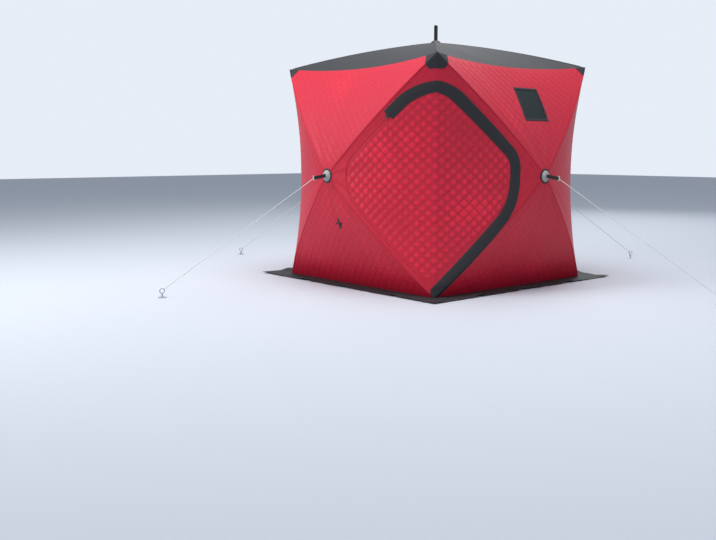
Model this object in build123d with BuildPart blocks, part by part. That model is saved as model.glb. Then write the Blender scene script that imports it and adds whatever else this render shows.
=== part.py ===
"""Pop-up ice fishing shelter: four quilted walls and a roof, each pushed out by a hub and four bowed poles.

Millimetres, +Z up. The origin is the centre of the footprint on the ground.
The front wall faces -Y and the right wall +X. The door wraps the corner between them.
"""
from build123d import *
import math
import os

# Main sizes
wall_span = 1800
wall_height = 1800
wall_push = 310
roof_push = 220
roof_bow = 27
pole_bow = 45
edge_draw = 120
top_draw = 88

# Cloth
wall_cloth = 5
roof_cloth = 3
skirt_cloth = 2
skirt_width = 190
fit = 0.3
cloth_overrun = 1.06

# Poles, and the corner pieces that take their ends
pole_radius = 5.5
pole_stop = 57
ferrule_radius = 7.5
sleeve_wall = 2.2
corner_lean = 1.35
socket_sleeve_length = 50
socket_inset = 26
socket_ball_radius = 18
socket_end_gap = 14
foot_radius = 16
foot_height = 20

# Hubs
hub_radius = 34
hub_depth = 34
hub_neck_radius = 14
hub_neck_reach = 9
slot_width = 8.4
slot_start = 15
slot_roof = 2
pin_radius = 2.5
pin_circle = 25
tongue_height = 10
tongue_start = 19
ferrule_start = 38
ferrule_length = 40
cap_radius = 44
cap_height = 16
cap_edge = 3
cap_shoulder_radius = 31
cap_top_radius = 22

# Pull straps and guy ropes
strap_width = 25
strap_thickness = 2.5
strap_gap = 14
strap_reach = 96
strap_droop = 14
roof_strap_reach = 120
rope_radius = 2.5
rope_play = 2
rope_run = 1200
rope_turn = 22
anchor_eye_radius = 18
anchor_wire_radius = 4
anchor_eye_height = 52
anchor_plate_radius = 30
anchor_plate_thickness = 5

# Door
door_crown_drop = 245
door_top_border = 65
door_tip_border = 238
door_foot_border = 35
door_sill = 90
door_crown_radius = 240
door_shoulder_radius = 145
door_hip_radius = 260
fold_start = 0.572
door_gap = 5
flap_width = 70
flap_thickness = 2.5
flap_foot_border = 12
flap_start = 25
flap_hem = 12

# Windows
window_size = 285
window_border = 18
window_frame_thickness = 2.5
window_shift = 30
window_drop = 344
pane_thickness = 1

# Corner patches and the door's tie-back
patch_thickness = 2
patch_reach = 90
patch_drop = 110
tie_right = 58
tie_height = 520
tie_length = 86
tie_width = 24
toggle_radius = 6
toggle_length = 64

# Worked out from the sizes above
half_span = wall_span / 2
half_height = wall_height / 2
door_crown = wall_height - door_crown_drop
sleeve_radius = pole_radius + fit + sleeve_wall
tongue_width = slot_width - 2 * fit
foot_lean = (wall_push + 4 * pole_bow) / half_height

# The roof's draw brings the middle of its edge to the middle of the walls' top edge.
edge_fall = 4 * pole_bow + top_draw
edge_rate = half_height + wall_push + 4 * pole_bow + 2 * top_draw
edge_share = (math.sqrt(edge_rate**2 - 4 * edge_fall * top_draw) - edge_rate) / (2 * edge_fall)
edge_middle = half_height * edge_share
roof_share = edge_middle / half_span
roof_rise = roof_share * (roof_push + 4 * roof_bow * (1 + roof_share))
roof_draw = -(edge_middle + roof_rise) / (1 + roof_share) ** 2

os.makedirs("parts", exist_ok=True)


class Side:
    """A wall or the roof: its plane has x along the side, y up it and z outwards."""

    def __init__(self, name, plane, half_x, half_y, push, bow, draws, cloth, joins):
        self.name = name
        self.plane = plane
        self.half_x = half_x
        self.half_y = half_y
        self.push = push
        self.bow = bow
        self.draws = draws
        self.cloth = cloth
        self.joins = joins
        self.pole_depth = cloth + fit + sleeve_radius * corner_lean

    def panel_plane(self, turn):
        """Plane of one of the four panels: x runs from the hub to that panel's outer edge."""
        ways = [self.plane.x_dir, self.plane.y_dir, self.plane.x_dir * -1, self.plane.y_dir * -1]
        return Plane(origin=self.plane.origin, x_dir=ways[turn], z_dir=self.plane.z_dir)

    def reach(self, turn):
        """Half lengths of the side along and across a panel."""
        if turn % 2 == 0:
            return self.half_x, self.half_y
        return self.half_y, self.half_x

    def pole_rise(self, share):
        """Height of the cloth over the side's plane, along a pole from hub (0) to corner (1)."""
        return self.push * (1 - share) + 4 * self.bow * share * (1 - share)

    def pole_slope(self, share):
        """Change of that height with the share."""
        return -self.push + 4 * self.bow * (1 - 2 * share)

    def pole_point(self, right, up, share):
        """Point of a pole's centreline, for the corner given by the signs right and up."""
        height = self.pole_rise(share) - self.pole_depth
        return self.plane.from_local_coords((right * share * self.half_x, up * share * self.half_y, height))

    def pole_direction(self, right, up, share):
        """Direction of that centreline, towards the corner."""
        way = Vector(right * self.half_x, up * self.half_y, self.pole_slope(share))
        local = self.plane.x_dir * way.X + self.plane.y_dir * way.Y + self.plane.z_dir * way.Z
        return local.normalized()

    def pole_share(self, distance):
        """Share of the way to the corner at a distance from the hub's axis."""
        return distance / math.hypot(self.half_x, self.half_y)


def wall(name, angle):
    """A wall whose outward direction is turned by angle from -Y."""
    turned = Plane.XY.rotated((0, 0, angle))
    plane = Plane(
        origin=turned.y_dir * -half_span + Vector(0, 0, half_height),
        x_dir=turned.x_dir,
        z_dir=turned.y_dir * -1,
    )
    draws = [edge_draw, top_draw, edge_draw, 0]
    return Side(name, plane, half_span, half_height, wall_push, pole_bow, draws, wall_cloth, [0, 1, 2])


front_wall = wall("front_wall", 0)
right_wall = wall("right_wall", 90)
back_wall = wall("back_wall", 180)
left_wall = wall("left_wall", 270)
walls = [front_wall, right_wall, back_wall, left_wall]
roof = Side(
    "roof",
    Plane.XY.offset(wall_height),
    half_span,
    half_span,
    roof_push,
    roof_bow,
    [roof_draw] * 4,
    roof_cloth,
    [0, 1, 2, 3],
)


def cloth_face(side, turn, lift):
    """Outer face of a stretched panel: a parabola along x carried along a parabola across it."""
    plane = side.panel_plane(turn)
    reach, span = side.reach(turn)
    draw = side.draws[turn]
    over = cloth_overrun
    slope = 4 * side.bow - side.push
    fall = 4 * side.bow + draw
    along = [side.push, side.push + slope * over / 2, side.push + slope * over - fall * over**2]
    across = [draw * over**2, -draw * over**2, draw * over**2]
    rows = []
    for i in range(3):
        row = []
        for j in range(3):
            point = (reach * over * i / 2, span * over * (j - 1), along[i] + across[j] + lift)
            row.append(plane.from_local_coords(point))
        rows.append(row)
    return Face.make_bezier_surface(rows)


def turned_plane(plane, origin, normal):
    """Cutting plane given by a point and a normal in another plane's axes."""
    direction = plane.x_dir * normal[0] + plane.y_dir * normal[1] + plane.z_dir * normal[2]
    return Plane(origin=plane.from_local_coords(origin), z_dir=direction)


def mitre_planes(side):
    """Planes that part a side's cloth from its neighbours', and from the ground."""
    planes = []
    for turn in side.joins:
        plane = side.panel_plane(turn)
        reach, span = side.reach(turn)
        planes.append(turned_plane(plane, (reach, 0, 0), (-1, 0, 1)))
    if len(side.joins) < 4:
        planes.append(Plane.XY)
    return planes


def pole_planes(side, turn):
    """The two upright planes through the poles that bound a panel."""
    plane = side.panel_plane(turn)
    reach, span = side.reach(turn)
    return [
        turned_plane(plane, (0, 0, 0), (span, -reach, 0)),
        turned_plane(plane, (0, 0, 0), (span, reach, 0)),
    ]


def cloth_layer(side, turn, lift, thickness, planes):
    """A layer of a panel, its outer face lifted off the cloth's and trimmed by planes."""
    with BuildPart() as layer:
        extrude(cloth_face(side, turn, lift), amount=thickness, dir=side.plane.z_dir * -1)
        for plane in planes:
            split(bisect_by=plane, keep=Keep.TOP)
    return layer.part


def panel_cloth(side, turn):
    """The whole cloth of one panel, with its quarter of the hole for the hub's neck."""
    planes = pole_planes(side, turn) + mitre_planes(side)
    with BuildPart() as cloth:
        add(cloth_layer(side, turn, 0, side.cloth, planes))
        with BuildSketch(side.plane):
            Circle(hub_neck_radius + fit)
        extrude(amount=side.push + side.cloth, mode=Mode.SUBTRACT)
    return cloth.part


def save(part, name):
    """Label a finished piece and write it."""
    part.label = name
    export_step(part, "parts/" + name + ".step")


# Door outline, drawn in the wall's plane with x from the hub towards the door corner
def border_line(side, offset, up):
    """Slope and start of the line beside a pole: y = up * (slope * x) + start."""
    slope = side.half_y / side.half_x
    start = -up * offset * math.hypot(side.half_x, side.half_y) / side.half_x
    return up * slope, start


def crossing(first, second):
    """Point where two lines y = slope * x + start cross."""
    x = (second[1] - first[1]) / (first[0] - second[0])
    return x, first[0] * x + first[1]


def fold_line(side, shift):
    """Slope and start of the fold, from a pole to the foot of the corner, moved away from the door."""
    top = (fold_start * side.half_x, fold_start * side.half_y)
    slope = (-side.half_y - top[1]) / (side.half_x - top[0])
    return slope, top[1] - slope * top[0] - shift * math.hypot(1, slope)


def outline_points(side, crown, top_border, tip, foot_border, sill):
    """Corners of an outline that runs past the door corner, for the wall without the fold."""
    top = border_line(side, top_border, 1)
    foot = border_line(side, foot_border, -1)
    crown_y = crown - half_height
    sill_y = sill - half_height
    beyond = side.half_x + door_crown_radius
    return [
        (beyond, crown_y),
        ((crown_y - top[1]) / top[0], crown_y),
        (tip, top[0] * tip + top[1]),
        (tip, foot[0] * tip + foot[1]),
        ((sill_y - foot[1]) / foot[0], sill_y),
        (beyond, sill_y),
    ]


def outline_face(side, mirror, points, rounds, inset):
    """Closed outline on a wall's plane, its corners rounded, drawn in by inset."""
    placed = [(mirror * x, y) for x, y in points]
    with BuildSketch(side.plane) as outline:
        with BuildLine():
            Polyline(*placed, close=True)
        make_face()
        for number, radius in rounds:
            fillet(outline.vertices().sort_by_distance(placed[number])[0], radius)
        if inset:
            offset(amount=-inset, kind=Kind.INTERSECTION, mode=Mode.REPLACE)
    return outline.sketch


def fold_points(points, shift):
    """The same outline on the front wall, where the fold takes the place of the tip."""
    top = border_line(front_wall, door_top_border, 1)
    fold = fold_line(front_wall, shift)
    sill_y = points[-1][1]
    return [
        points[0],
        points[1],
        crossing(top, fold),
        ((sill_y - fold[1]) / fold[0], sill_y),
        points[-1],
    ]


door_points = outline_points(
    right_wall, door_crown, door_top_border, door_tip_border, door_foot_border, door_sill
)
door_rounds = [(1, door_crown_radius), (2, door_shoulder_radius), (3, door_hip_radius)]
opening_fold_points = fold_points(door_points, 0)
door_fold_points = fold_points(door_points, door_gap - fit)
door_fold_rounds = [(1, door_crown_radius)]
cut_depth = 2 * wall_push


# Walls and roof, four panels each
turn_names = ["right", "top", "left", "bottom"]
roof_turn_names = ["right", "back", "left", "front"]


def window_outline(side, size):
    """Window outline on a wall's plane, a little off its centre line."""
    with BuildSketch(side.plane) as outline:
        with Locations((window_shift, half_height - window_drop)):
            Rectangle(size, size * window_flattening)
    return outline.sketch


window_slope = (wall_push + top_draw) / half_height
window_flattening = 1 / math.hypot(1, window_slope)
window_cut = window_size - 2 * window_border
window_walls = [right_wall, left_wall]

for side in walls:
    for turn in range(4):
        with BuildPart() as panel:
            add(panel_cloth(side, turn))
            if side is right_wall and turn == 2:
                outline = outline_face(side, -1, door_points, door_rounds, 0)
                extrude(outline, amount=cut_depth, both=True, mode=Mode.SUBTRACT)
            if side is front_wall and turn == 0:
                outline = outline_face(side, 1, opening_fold_points, door_fold_rounds, 0)
                extrude(outline, amount=cut_depth, both=True, mode=Mode.SUBTRACT)
            if side in window_walls and turn == 1:
                extrude(window_outline(side, window_cut), amount=cut_depth, mode=Mode.SUBTRACT)
        save(panel.part, side.name + "_" + turn_names[turn] + "_panel")

for turn in range(4):
    save(panel_cloth(roof, turn), "roof_" + roof_turn_names[turn] + "_panel")

# Door: its two halves meet at the corner edge
with BuildPart() as right_half:
    add(cloth_layer(right_wall, 2, 0, wall_cloth, mitre_planes(right_wall)))
    outline = outline_face(right_wall, -1, door_points, door_rounds, door_gap)
    extrude(outline, amount=cut_depth, both=True, mode=Mode.INTERSECT)
with BuildPart() as front_half:
    add(cloth_layer(front_wall, 0, 0, wall_cloth, mitre_planes(front_wall)))
    outline = outline_face(front_wall, 1, door_fold_points, door_fold_rounds, door_gap)
    extrude(outline, amount=cut_depth, both=True, mode=Mode.INTERSECT)
with BuildPart() as door_panel:
    add(right_half.part)
    add(front_half.part)
save(door_panel.part, "door_panel")

# Storm flap over the door's zip, clear of the walls it covers
flap_half = flap_width / 2
flap_lift = door_gap + flap_thickness


def flap_outline(side, mirror, grow, sill):
    """Outline that runs beside the zip, grown outwards from it."""
    points = outline_points(
        right_wall,
        door_crown + grow,
        door_top_border - grow,
        door_tip_border - grow,
        flap_foot_border - grow,
        sill,
    )
    rounds = [(1, door_crown_radius + grow), (2, door_shoulder_radius + grow), (3, door_hip_radius + grow)]
    return outline_face(side, mirror, points, rounds, 0)


def flap_layer(side, turn, mirror, lift, thickness, outer, inner):
    """A band of the flap on one wall, between two outlines."""
    with BuildPart() as band:
        add(cloth_layer(side, turn, lift, thickness, mitre_planes(side)))
        extrude(flap_outline(side, mirror, outer, door_sill), amount=cut_depth, both=True, mode=Mode.INTERSECT)
        inside = flap_outline(side, mirror, inner, door_sill - skirt_width)
        extrude(inside, amount=cut_depth, both=True, mode=Mode.SUBTRACT)
    return band.part


def flap_part(side, turn, mirror):
    """The flap on one wall, with the hem that sews it to the door."""
    with BuildPart() as part:
        add(flap_layer(side, turn, mirror, flap_lift, flap_thickness, flap_half, -flap_half))
        add(flap_layer(side, turn, mirror, door_gap, door_gap - fit, flap_hem - flap_half, -flap_half))
        split(bisect_by=Plane.XY.offset(door_sill), keep=Keep.TOP)
    return part.part


# On the front wall the flap starts square across the zip, just right of the fold
zip_start = crossing(border_line(front_wall, door_top_border, 1), fold_line(front_wall, 0))
pole_length = math.hypot(half_span, half_height)
pole_way = (half_span / pole_length, half_height / pole_length)
start_point = (zip_start[0] + flap_start * pole_way[0], zip_start[1] + flap_start * pole_way[1], 0)
start_plane = turned_plane(front_wall.plane, start_point, (*pole_way, 0))
with BuildPart() as flap_front_half:
    add(flap_part(front_wall, 0, 1))
    split(bisect_by=start_plane, keep=Keep.TOP)
with BuildPart() as door_flap:
    add(flap_part(right_wall, 2, -1))
    add(flap_front_half.part)
save(door_flap.part, "door_storm_flap")


# Windows: a film in each cut-out and a bound frame on the cloth round it
def window_pane(side):
    """The film, in the middle of the cloth's thickness."""
    with BuildPart() as pane:
        add(cloth_layer(side, 1, -(wall_cloth - pane_thickness) / 2, pane_thickness, []))
        extrude(window_outline(side, window_cut - 2 * fit), amount=cut_depth, mode=Mode.INTERSECT)
    return pane.part


def window_frame(side):
    """The binding, on the outside of the cloth."""
    with BuildPart() as frame:
        add(cloth_layer(side, 1, window_frame_thickness + fit, window_frame_thickness, []))
        extrude(window_outline(side, window_size), amount=cut_depth, mode=Mode.INTERSECT)
        extrude(window_outline(side, window_cut), amount=cut_depth, mode=Mode.SUBTRACT)
    return frame.part


with BuildPart() as window_panes:
    for side in window_walls:
        add(window_pane(side))
save(window_panes.part, "window_panes")
with BuildPart() as window_frames:
    for side in window_walls:
        add(window_frame(side))
save(window_frames.part, "window_frames")


# Patches over the top corners, on the panels that meet there
def edge_inset(draw, half_length, distance):
    """How far a drawn edge lies inside its corner's level, at a distance from the corner."""
    return draw * (1 - ((half_length - distance) / half_length) ** 2)


def corner_patch(side, right):
    """A wall's part of a patch, ending in a slant from the top edge to the upright edge."""
    top_end = (half_span - patch_reach, half_height - edge_inset(top_draw, half_span, patch_reach))
    foot_end = (half_span - edge_inset(edge_draw, half_height, patch_drop), half_height - patch_drop)
    slant = (right * (top_end[1] - foot_end[1]), foot_end[0] - top_end[0], 0)
    slant_plane = turned_plane(side.plane, (right * top_end[0], top_end[1], 0), slant)
    with BuildPart() as patch:
        for turn in (1, 1 - right):
            planes = pole_planes(side, turn) + mitre_planes(side) + [slant_plane]
            add(cloth_layer(side, turn, patch_thickness + fit, patch_thickness, planes))
    return patch.part


with BuildPart() as top_corner_patches:
    for side in walls:
        add(corner_patch(side, 1))
        add(corner_patch(side, -1))
save(top_corner_patches.part, "top_corner_patches")

# Tie-back for the opened door: a tab on the lower panel with a toggle across it
with BuildPart() as tie_tab:
    add(cloth_layer(front_wall, 3, patch_thickness + fit, patch_thickness, []))
    with BuildSketch(front_wall.plane):
        with Locations((tie_right, tie_height - half_height)):
            RectangleRounded(tie_width, tie_length, tie_width / 3)
    extrude(amount=cut_depth, mode=Mode.INTERSECT)
tie_face = tie_tab.part.bounding_box()
with BuildPart() as door_tie_back:
    add(tie_tab.part)
    with BuildSketch(Plane.YZ.offset(tie_right - toggle_length / 2)):
        with Locations(((tie_face.min.Y + tie_face.max.Y) / 2 - toggle_radius, tie_height)):
            Circle(toggle_radius)
    extrude(amount=toggle_length)
save(door_tie_back.part, "door_tie_back")

# Snow skirt lying round the foot of the walls, in four mitred strips
skirt_start = half_span + foot_lean * skirt_cloth + fit
skirt_end = half_span + skirt_width
with BuildPart() as snow_skirt:
    for side in walls:
        strip_plane = Plane(origin=(0, 0, 0), x_dir=side.plane.x_dir, z_dir=(0, 0, 1))
        with BuildSketch(strip_plane):
            with BuildLine():
                Polyline(
                    (fit - skirt_start, -skirt_start),
                    (skirt_start - fit, -skirt_start),
                    (skirt_end - fit, -skirt_end),
                    (fit - skirt_end, -skirt_end),
                    close=True,
                )
            make_face()
        extrude(amount=skirt_cloth)
save(snow_skirt.part, "snow_skirt")


# Poles: a rod with a ferrule and a pinned tongue at the hub
corners = [(1, 1), (-1, 1), (-1, -1), (1, -1)]


def pole(side, right, up):
    """One pole of a side, from its tongue in the hub to its end in the corner socket."""
    start = side.pole_share(ferrule_start)
    end = 1 - side.pole_share(pole_stop)
    first = side.pole_point(right, up, start)
    last = side.pole_point(right, up, end)
    way = side.pole_direction(right, up, start)
    middle = side.pole_point(right, up, (start + end) / 2)
    tongue_plane = Plane(origin=first, x_dir=way, z_dir=way.cross(side.plane.z_dir))
    with BuildPart() as rod:
        with BuildLine():
            curve = ThreePointArc(first, middle, last)
        with BuildSketch(Plane(origin=first, z_dir=curve % 0)):
            Circle(pole_radius)
        sweep()
        with BuildSketch(Plane(origin=first - way * fit, z_dir=way)):
            Circle(ferrule_radius)
        extrude(amount=ferrule_length)
        with BuildSketch(tongue_plane):
            with Locations(((tongue_start - ferrule_start) / 2, 0)):
                Rectangle(ferrule_start - tongue_start, tongue_height)
            with Locations((pin_circle - ferrule_start, 0)):
                Circle(pin_radius + fit, mode=Mode.SUBTRACT)
        extrude(amount=tongue_width / 2, both=True)
    return rod.part


for side in walls + [roof]:
    with BuildPart() as poles:
        for right, up in corners:
            add(pole(side, right, up))
    save(poles.part, side.name + "_poles")


# Hubs: a slotted core under the cloth, with a neck that comes out through it
def profile_plane(side):
    """Plane through a hub's axis, with x away from the axis and y outwards."""
    return Plane(origin=side.plane.origin, x_dir=side.plane.x_dir, z_dir=side.plane.y_dir * -1)


def hub(side):
    """Hub core with four radial slots, each with a pin across it."""
    axis = Axis(side.plane.origin, side.plane.z_dir)
    curve = 4 * side.bow + side.draws[0]
    panel_lean = (side.push - 4 * side.bow + curve * hub_radius / side.half_x) / side.half_x
    seat = side.push - side.cloth - fit
    base = seat - hub_depth
    slot_top = seat - hub_radius * panel_lean - slot_roof
    with BuildPart() as core:
        with BuildSketch(profile_plane(side)):
            with BuildLine():
                Polyline(
                    (0, base),
                    (hub_radius, base),
                    (hub_radius, seat - hub_radius * panel_lean),
                    (hub_neck_radius, seat - hub_neck_radius * panel_lean),
                    (hub_neck_radius, side.push + hub_neck_reach),
                    (0, side.push + hub_neck_reach),
                    close=True,
                )
            make_face()
        revolve(axis=axis)
        for right, up in corners:
            way = side.plane.x_dir * (right * side.half_x) + side.plane.y_dir * (up * side.half_y)
            floor = side.plane.from_local_coords((0, 0, base))
            with BuildSketch(Plane(origin=floor, x_dir=way, z_dir=side.plane.z_dir)):
                with Locations(((slot_start + hub_radius + fit) / 2, 0)):
                    Rectangle(hub_radius + fit - slot_start, slot_width)
            extrude(amount=slot_top - base, mode=Mode.SUBTRACT)
        for right, up in corners:
            way = side.plane.x_dir * (right * side.half_x) + side.plane.y_dir * (up * side.half_y)
            pin_point = side.pole_point(right, up, side.pole_share(pin_circle))
            with BuildSketch(Plane(origin=pin_point, z_dir=way.cross(side.plane.z_dir))):
                Circle(pin_radius)
            extrude(amount=slot_width / 2 + 2, both=True)
    return core.part


def hub_cap(side):
    """Domed cap pressed on the neck, against the outside of the cloth."""
    axis = Axis(side.plane.origin, side.plane.z_dir)
    seam_lean = (side.push - 4 * side.bow) / math.hypot(side.half_x, side.half_y)
    under = side.push + fit
    rim = under - cap_radius * seam_lean
    with BuildPart() as cap:
        with BuildSketch(profile_plane(side)):
            with BuildLine():
                Polyline(
                    (0, under + cap_height),
                    (0, under),
                    (cap_radius, rim),
                    (cap_radius, rim + cap_edge),
                    (cap_shoulder_radius, under + cap_height * 0.75),
                    (cap_top_radius, under + cap_height),
                    close=True,
                )
            make_face()
        revolve(axis=axis)
        with BuildSketch(side.plane.offset(rim)):
            Circle(hub_neck_radius + fit)
        extrude(amount=under + hub_neck_reach - rim, mode=Mode.SUBTRACT)
    return cap.part


for side in walls + [roof]:
    save(hub(side), side.name + "_hub")
with BuildPart() as wall_hub_caps:
    for side in walls:
        add(hub_cap(side))
save(wall_hub_caps.part, "wall_hub_caps")
save(hub_cap(roof), "roof_hub_cap")


# Pull straps: a loop of webbing sewn to each cap
def strap_tip(side, reach, droop):
    """Centre of the loop's rounded end, in the side's axes."""
    return (0, -droop, side.push + fit + cap_height + reach)


def pull_strap(side, reach, droop):
    """A loop that stands out from the cap, dropping a little at its end."""
    face = side.push + fit + cap_height
    origin = side.plane.from_local_coords((0, 0, face))
    tip = side.plane.from_local_coords(strap_tip(side, reach, droop))
    way = tip - origin
    loop_plane = Plane(origin=origin, x_dir=way, z_dir=way.cross(side.plane.x_dir))
    outer = strap_gap + 2 * strap_thickness
    with BuildPart() as strap:
        with BuildSketch(loop_plane):
            SlotCenterToCenter(2 * way.length, outer)
            SlotCenterToCenter(2 * way.length, strap_gap, mode=Mode.SUBTRACT)
        extrude(amount=strap_width / 2, both=True)
        split(bisect_by=side.plane.offset(face), keep=Keep.TOP)
    return strap.part


with BuildPart() as wall_pull_straps:
    for side in walls:
        add(pull_strap(side, strap_reach, strap_droop))
save(wall_pull_straps.part, "wall_pull_straps")
save(pull_strap(roof, roof_strap_reach, 0), "roof_pull_strap")


# Sockets at the top and bottom corners, with a blind bore for each pole end
def socket(corner_x, corner_y, top):
    """Moulded corner piece that takes the ends of the poles that meet there."""
    level = wall_height - socket_inset if top else socket_inset
    centre = Vector(corner_x * (half_span - socket_inset), corner_y * (half_span - socket_inset), level)
    ends = []
    for side in walls + [roof] if top else walls:
        for right, up in corners:
            share = 1 - side.pole_share(pole_stop)
            point = side.pole_point(right, up, share)
            if (point - centre).length < 3 * pole_stop and (side is roof or up == (1 if top else -1)):
                ends.append((point, side.pole_direction(right, up, share)))
    with BuildPart() as piece:
        with Locations(centre):
            Sphere(socket_ball_radius)
        if not top:
            with BuildSketch(Plane.XY):
                with Locations((centre.X, centre.Y)):
                    Circle(foot_radius)
            extrude(amount=foot_height)
        for point, way in ends:
            with BuildSketch(Plane(origin=point + way * socket_end_gap * 2, z_dir=way * -1)):
                Circle(sleeve_radius)
            extrude(amount=socket_sleeve_length + socket_end_gap * 2)
        for point, way in ends:
            with BuildSketch(Plane(origin=point + way * fit, z_dir=way * -1)):
                Circle(pole_radius + fit)
            extrude(amount=socket_sleeve_length * 2, mode=Mode.SUBTRACT)
    return piece.part


for name, top in (("top_corner_sockets", True), ("bottom_corner_sockets", False)):
    with BuildPart() as sockets:
        for corner_x, corner_y in corners:
            add(socket(corner_x, corner_y, top))
    save(sockets.part, name)


# Guy ropes, drawn tight from the wall straps to anchors in the ice
def rope_line(side, lean):
    """Where a rope is tied in the strap's end, the centre of the anchor's eye, and the strap's way."""
    local = strap_tip(side, strap_reach, strap_droop)
    seat = math.sqrt((strap_gap / 2) ** 2 - rope_radius**2) - fit
    strap_way = side.plane.y_dir * -strap_droop + side.plane.z_dir * strap_reach
    middle = side.plane.from_local_coords(local)
    tip = middle + strap_way.normalized() * (seat + strap_thickness / 2 + rope_play)
    turn = math.radians(rope_turn) * lean
    eye = side.plane.from_local_coords(
        (rope_run * math.sin(turn), anchor_eye_height - half_height, local[2] + rope_run * math.cos(turn))
    )
    return tip, eye, strap_way


def guy_rope(side, lean):
    """A taut rope with a loop round the strap and a ring through the anchor's eye."""
    tip, eye, strap_way = rope_line(side, lean)
    way = (tip - eye).normalized()
    across = way.cross(Vector(0, 0, 1)).normalized()
    ring_radius = anchor_wire_radius + rope_radius + rope_play
    ring_centre = eye + way * (anchor_eye_radius + rope_play - fit)
    start = ring_centre + way * ring_radius
    loop_plane = Plane(origin=tip, x_dir=strap_way.cross(side.plane.x_dir), z_dir=side.plane.x_dir)
    loop_width = strap_width + 2 * rope_play
    loop_depth = strap_thickness + 2 * rope_play
    with BuildPart() as rope:
        with BuildSketch(Plane(origin=start, z_dir=way)):
            Circle(rope_radius)
        extrude(amount=(tip - start).length - loop_depth / 2 - fit)
        with Locations(Plane(origin=ring_centre, x_dir=way, z_dir=way.cross(across))):
            Torus(ring_radius, rope_radius)
        with BuildSketch(loop_plane):
            SlotOverall(loop_width + 4 * rope_radius, loop_depth + 4 * rope_radius)
            SlotOverall(loop_width, loop_depth, mode=Mode.SUBTRACT)
        extrude(amount=rope_radius, both=True)
    return rope.part


def ice_anchor(side, lean):
    """Anchor head standing on the ice: a plate, a boss and an eye that faces the rope."""
    tip, eye, strap_way = rope_line(side, lean)
    flat_way = Vector(tip.X - eye.X, tip.Y - eye.Y, 0).normalized()
    across = flat_way.cross(Vector(0, 0, 1))
    eye_foot = anchor_eye_height - anchor_eye_radius
    profile = Plane(origin=(eye.X, eye.Y, 0), x_dir=flat_way, z_dir=across)
    with BuildPart() as anchor:
        with BuildSketch(profile):
            with BuildLine():
                Polyline(
                    (0, 0),
                    (anchor_plate_radius, 0),
                    (anchor_plate_radius, anchor_plate_thickness),
                    (anchor_wire_radius * 2, anchor_plate_thickness * 2),
                    (anchor_wire_radius * 1.5, eye_foot),
                    (0, eye_foot),
                    close=True,
                )
            make_face()
        revolve(axis=Axis((eye.X, eye.Y, 0), (0, 0, 1)))
        with Locations(Plane(origin=eye, x_dir=flat_way, z_dir=across)):
            Torus(anchor_eye_radius, anchor_wire_radius)
    return anchor.part


rope_leans = [-1, 1, -1, 1]
with BuildPart() as guy_ropes:
    for side, lean in zip(walls, rope_leans):
        add(guy_rope(side, lean))
save(guy_ropes.part, "guy_ropes")
with BuildPart() as ice_anchors:
    for side, lean in zip(walls, rope_leans):
        add(ice_anchor(side, lean))
save(ice_anchors.part, "ice_anchors")
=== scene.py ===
"""Dressed model of a pop-up ice fishing hut: quilted walls, black roof, corner door, skirt and straps."""

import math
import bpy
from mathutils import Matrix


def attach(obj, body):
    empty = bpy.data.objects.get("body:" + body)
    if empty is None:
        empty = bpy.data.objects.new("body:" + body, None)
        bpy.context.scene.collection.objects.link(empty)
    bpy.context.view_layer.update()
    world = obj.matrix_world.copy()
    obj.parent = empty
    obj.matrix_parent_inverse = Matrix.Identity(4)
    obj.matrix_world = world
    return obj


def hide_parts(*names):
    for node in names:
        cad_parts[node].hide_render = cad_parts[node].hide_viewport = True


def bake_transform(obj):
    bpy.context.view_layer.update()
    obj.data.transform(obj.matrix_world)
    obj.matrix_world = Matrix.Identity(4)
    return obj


bl_info = {
    "name": "Ice Fishing Hut",
    "version": (1, 0, 0),
    "blender": (4, 2, 0),
    "location": "View3D > Sidebar > Ice Hut",
    "description": "Builds the cloth, trim, zip and studio round the packed frame of an ice fishing hut",
    "category": "Object",
}

import bpy
import numpy as np
from mathutils import Matrix, Vector

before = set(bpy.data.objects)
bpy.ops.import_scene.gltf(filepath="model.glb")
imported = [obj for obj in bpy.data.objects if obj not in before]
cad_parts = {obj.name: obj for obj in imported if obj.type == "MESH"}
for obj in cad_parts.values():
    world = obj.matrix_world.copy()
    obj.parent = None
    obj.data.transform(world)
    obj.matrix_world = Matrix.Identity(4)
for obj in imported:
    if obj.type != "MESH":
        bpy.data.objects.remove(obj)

# Sizes shared with the solids, in metres
HALF = 0.9
WALL_HEIGHT = 1.8
WALL_PUSH = 0.310
WALL_BOW = 0.045
EDGE_DRAW = 0.120
TOP_DRAW = 0.088
ROOF_PUSH = 0.220
ROOF_BOW = 0.027
WALL_CLOTH = 0.005
ROOF_CLOTH = 0.003
CAP_RADIUS = 0.044
DOOR_SILL = 0.090
FOLD_START = 0.572
FLAP_START = 0.025
WINDOW_SHIFT = 0.030
WINDOW_CENTRE = 1.456
WINDOW_SIZE = 0.285
WINDOW_BORDER = 0.018
SKIRT_WIDTH = 0.190

# The roof's draw, which brings the middle of its edge to the middle of the walls' top edge
MID = WALL_HEIGHT / 2
EDGE_FALL = 4 * WALL_BOW + TOP_DRAW
EDGE_RATE = HALF + WALL_PUSH + 4 * WALL_BOW + 2 * TOP_DRAW
EDGE_SHARE = (math.sqrt(EDGE_RATE**2 - 4 * EDGE_FALL * TOP_DRAW) - EDGE_RATE) / (2 * EDGE_FALL)
ROOF_RISE = EDGE_SHARE * (ROOF_PUSH + 4 * ROOF_BOW * (1 + EDGE_SHARE))
ROOF_DRAW = -(HALF * EDGE_SHARE + ROOF_RISE) / (1 + EDGE_SHARE) ** 2


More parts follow.
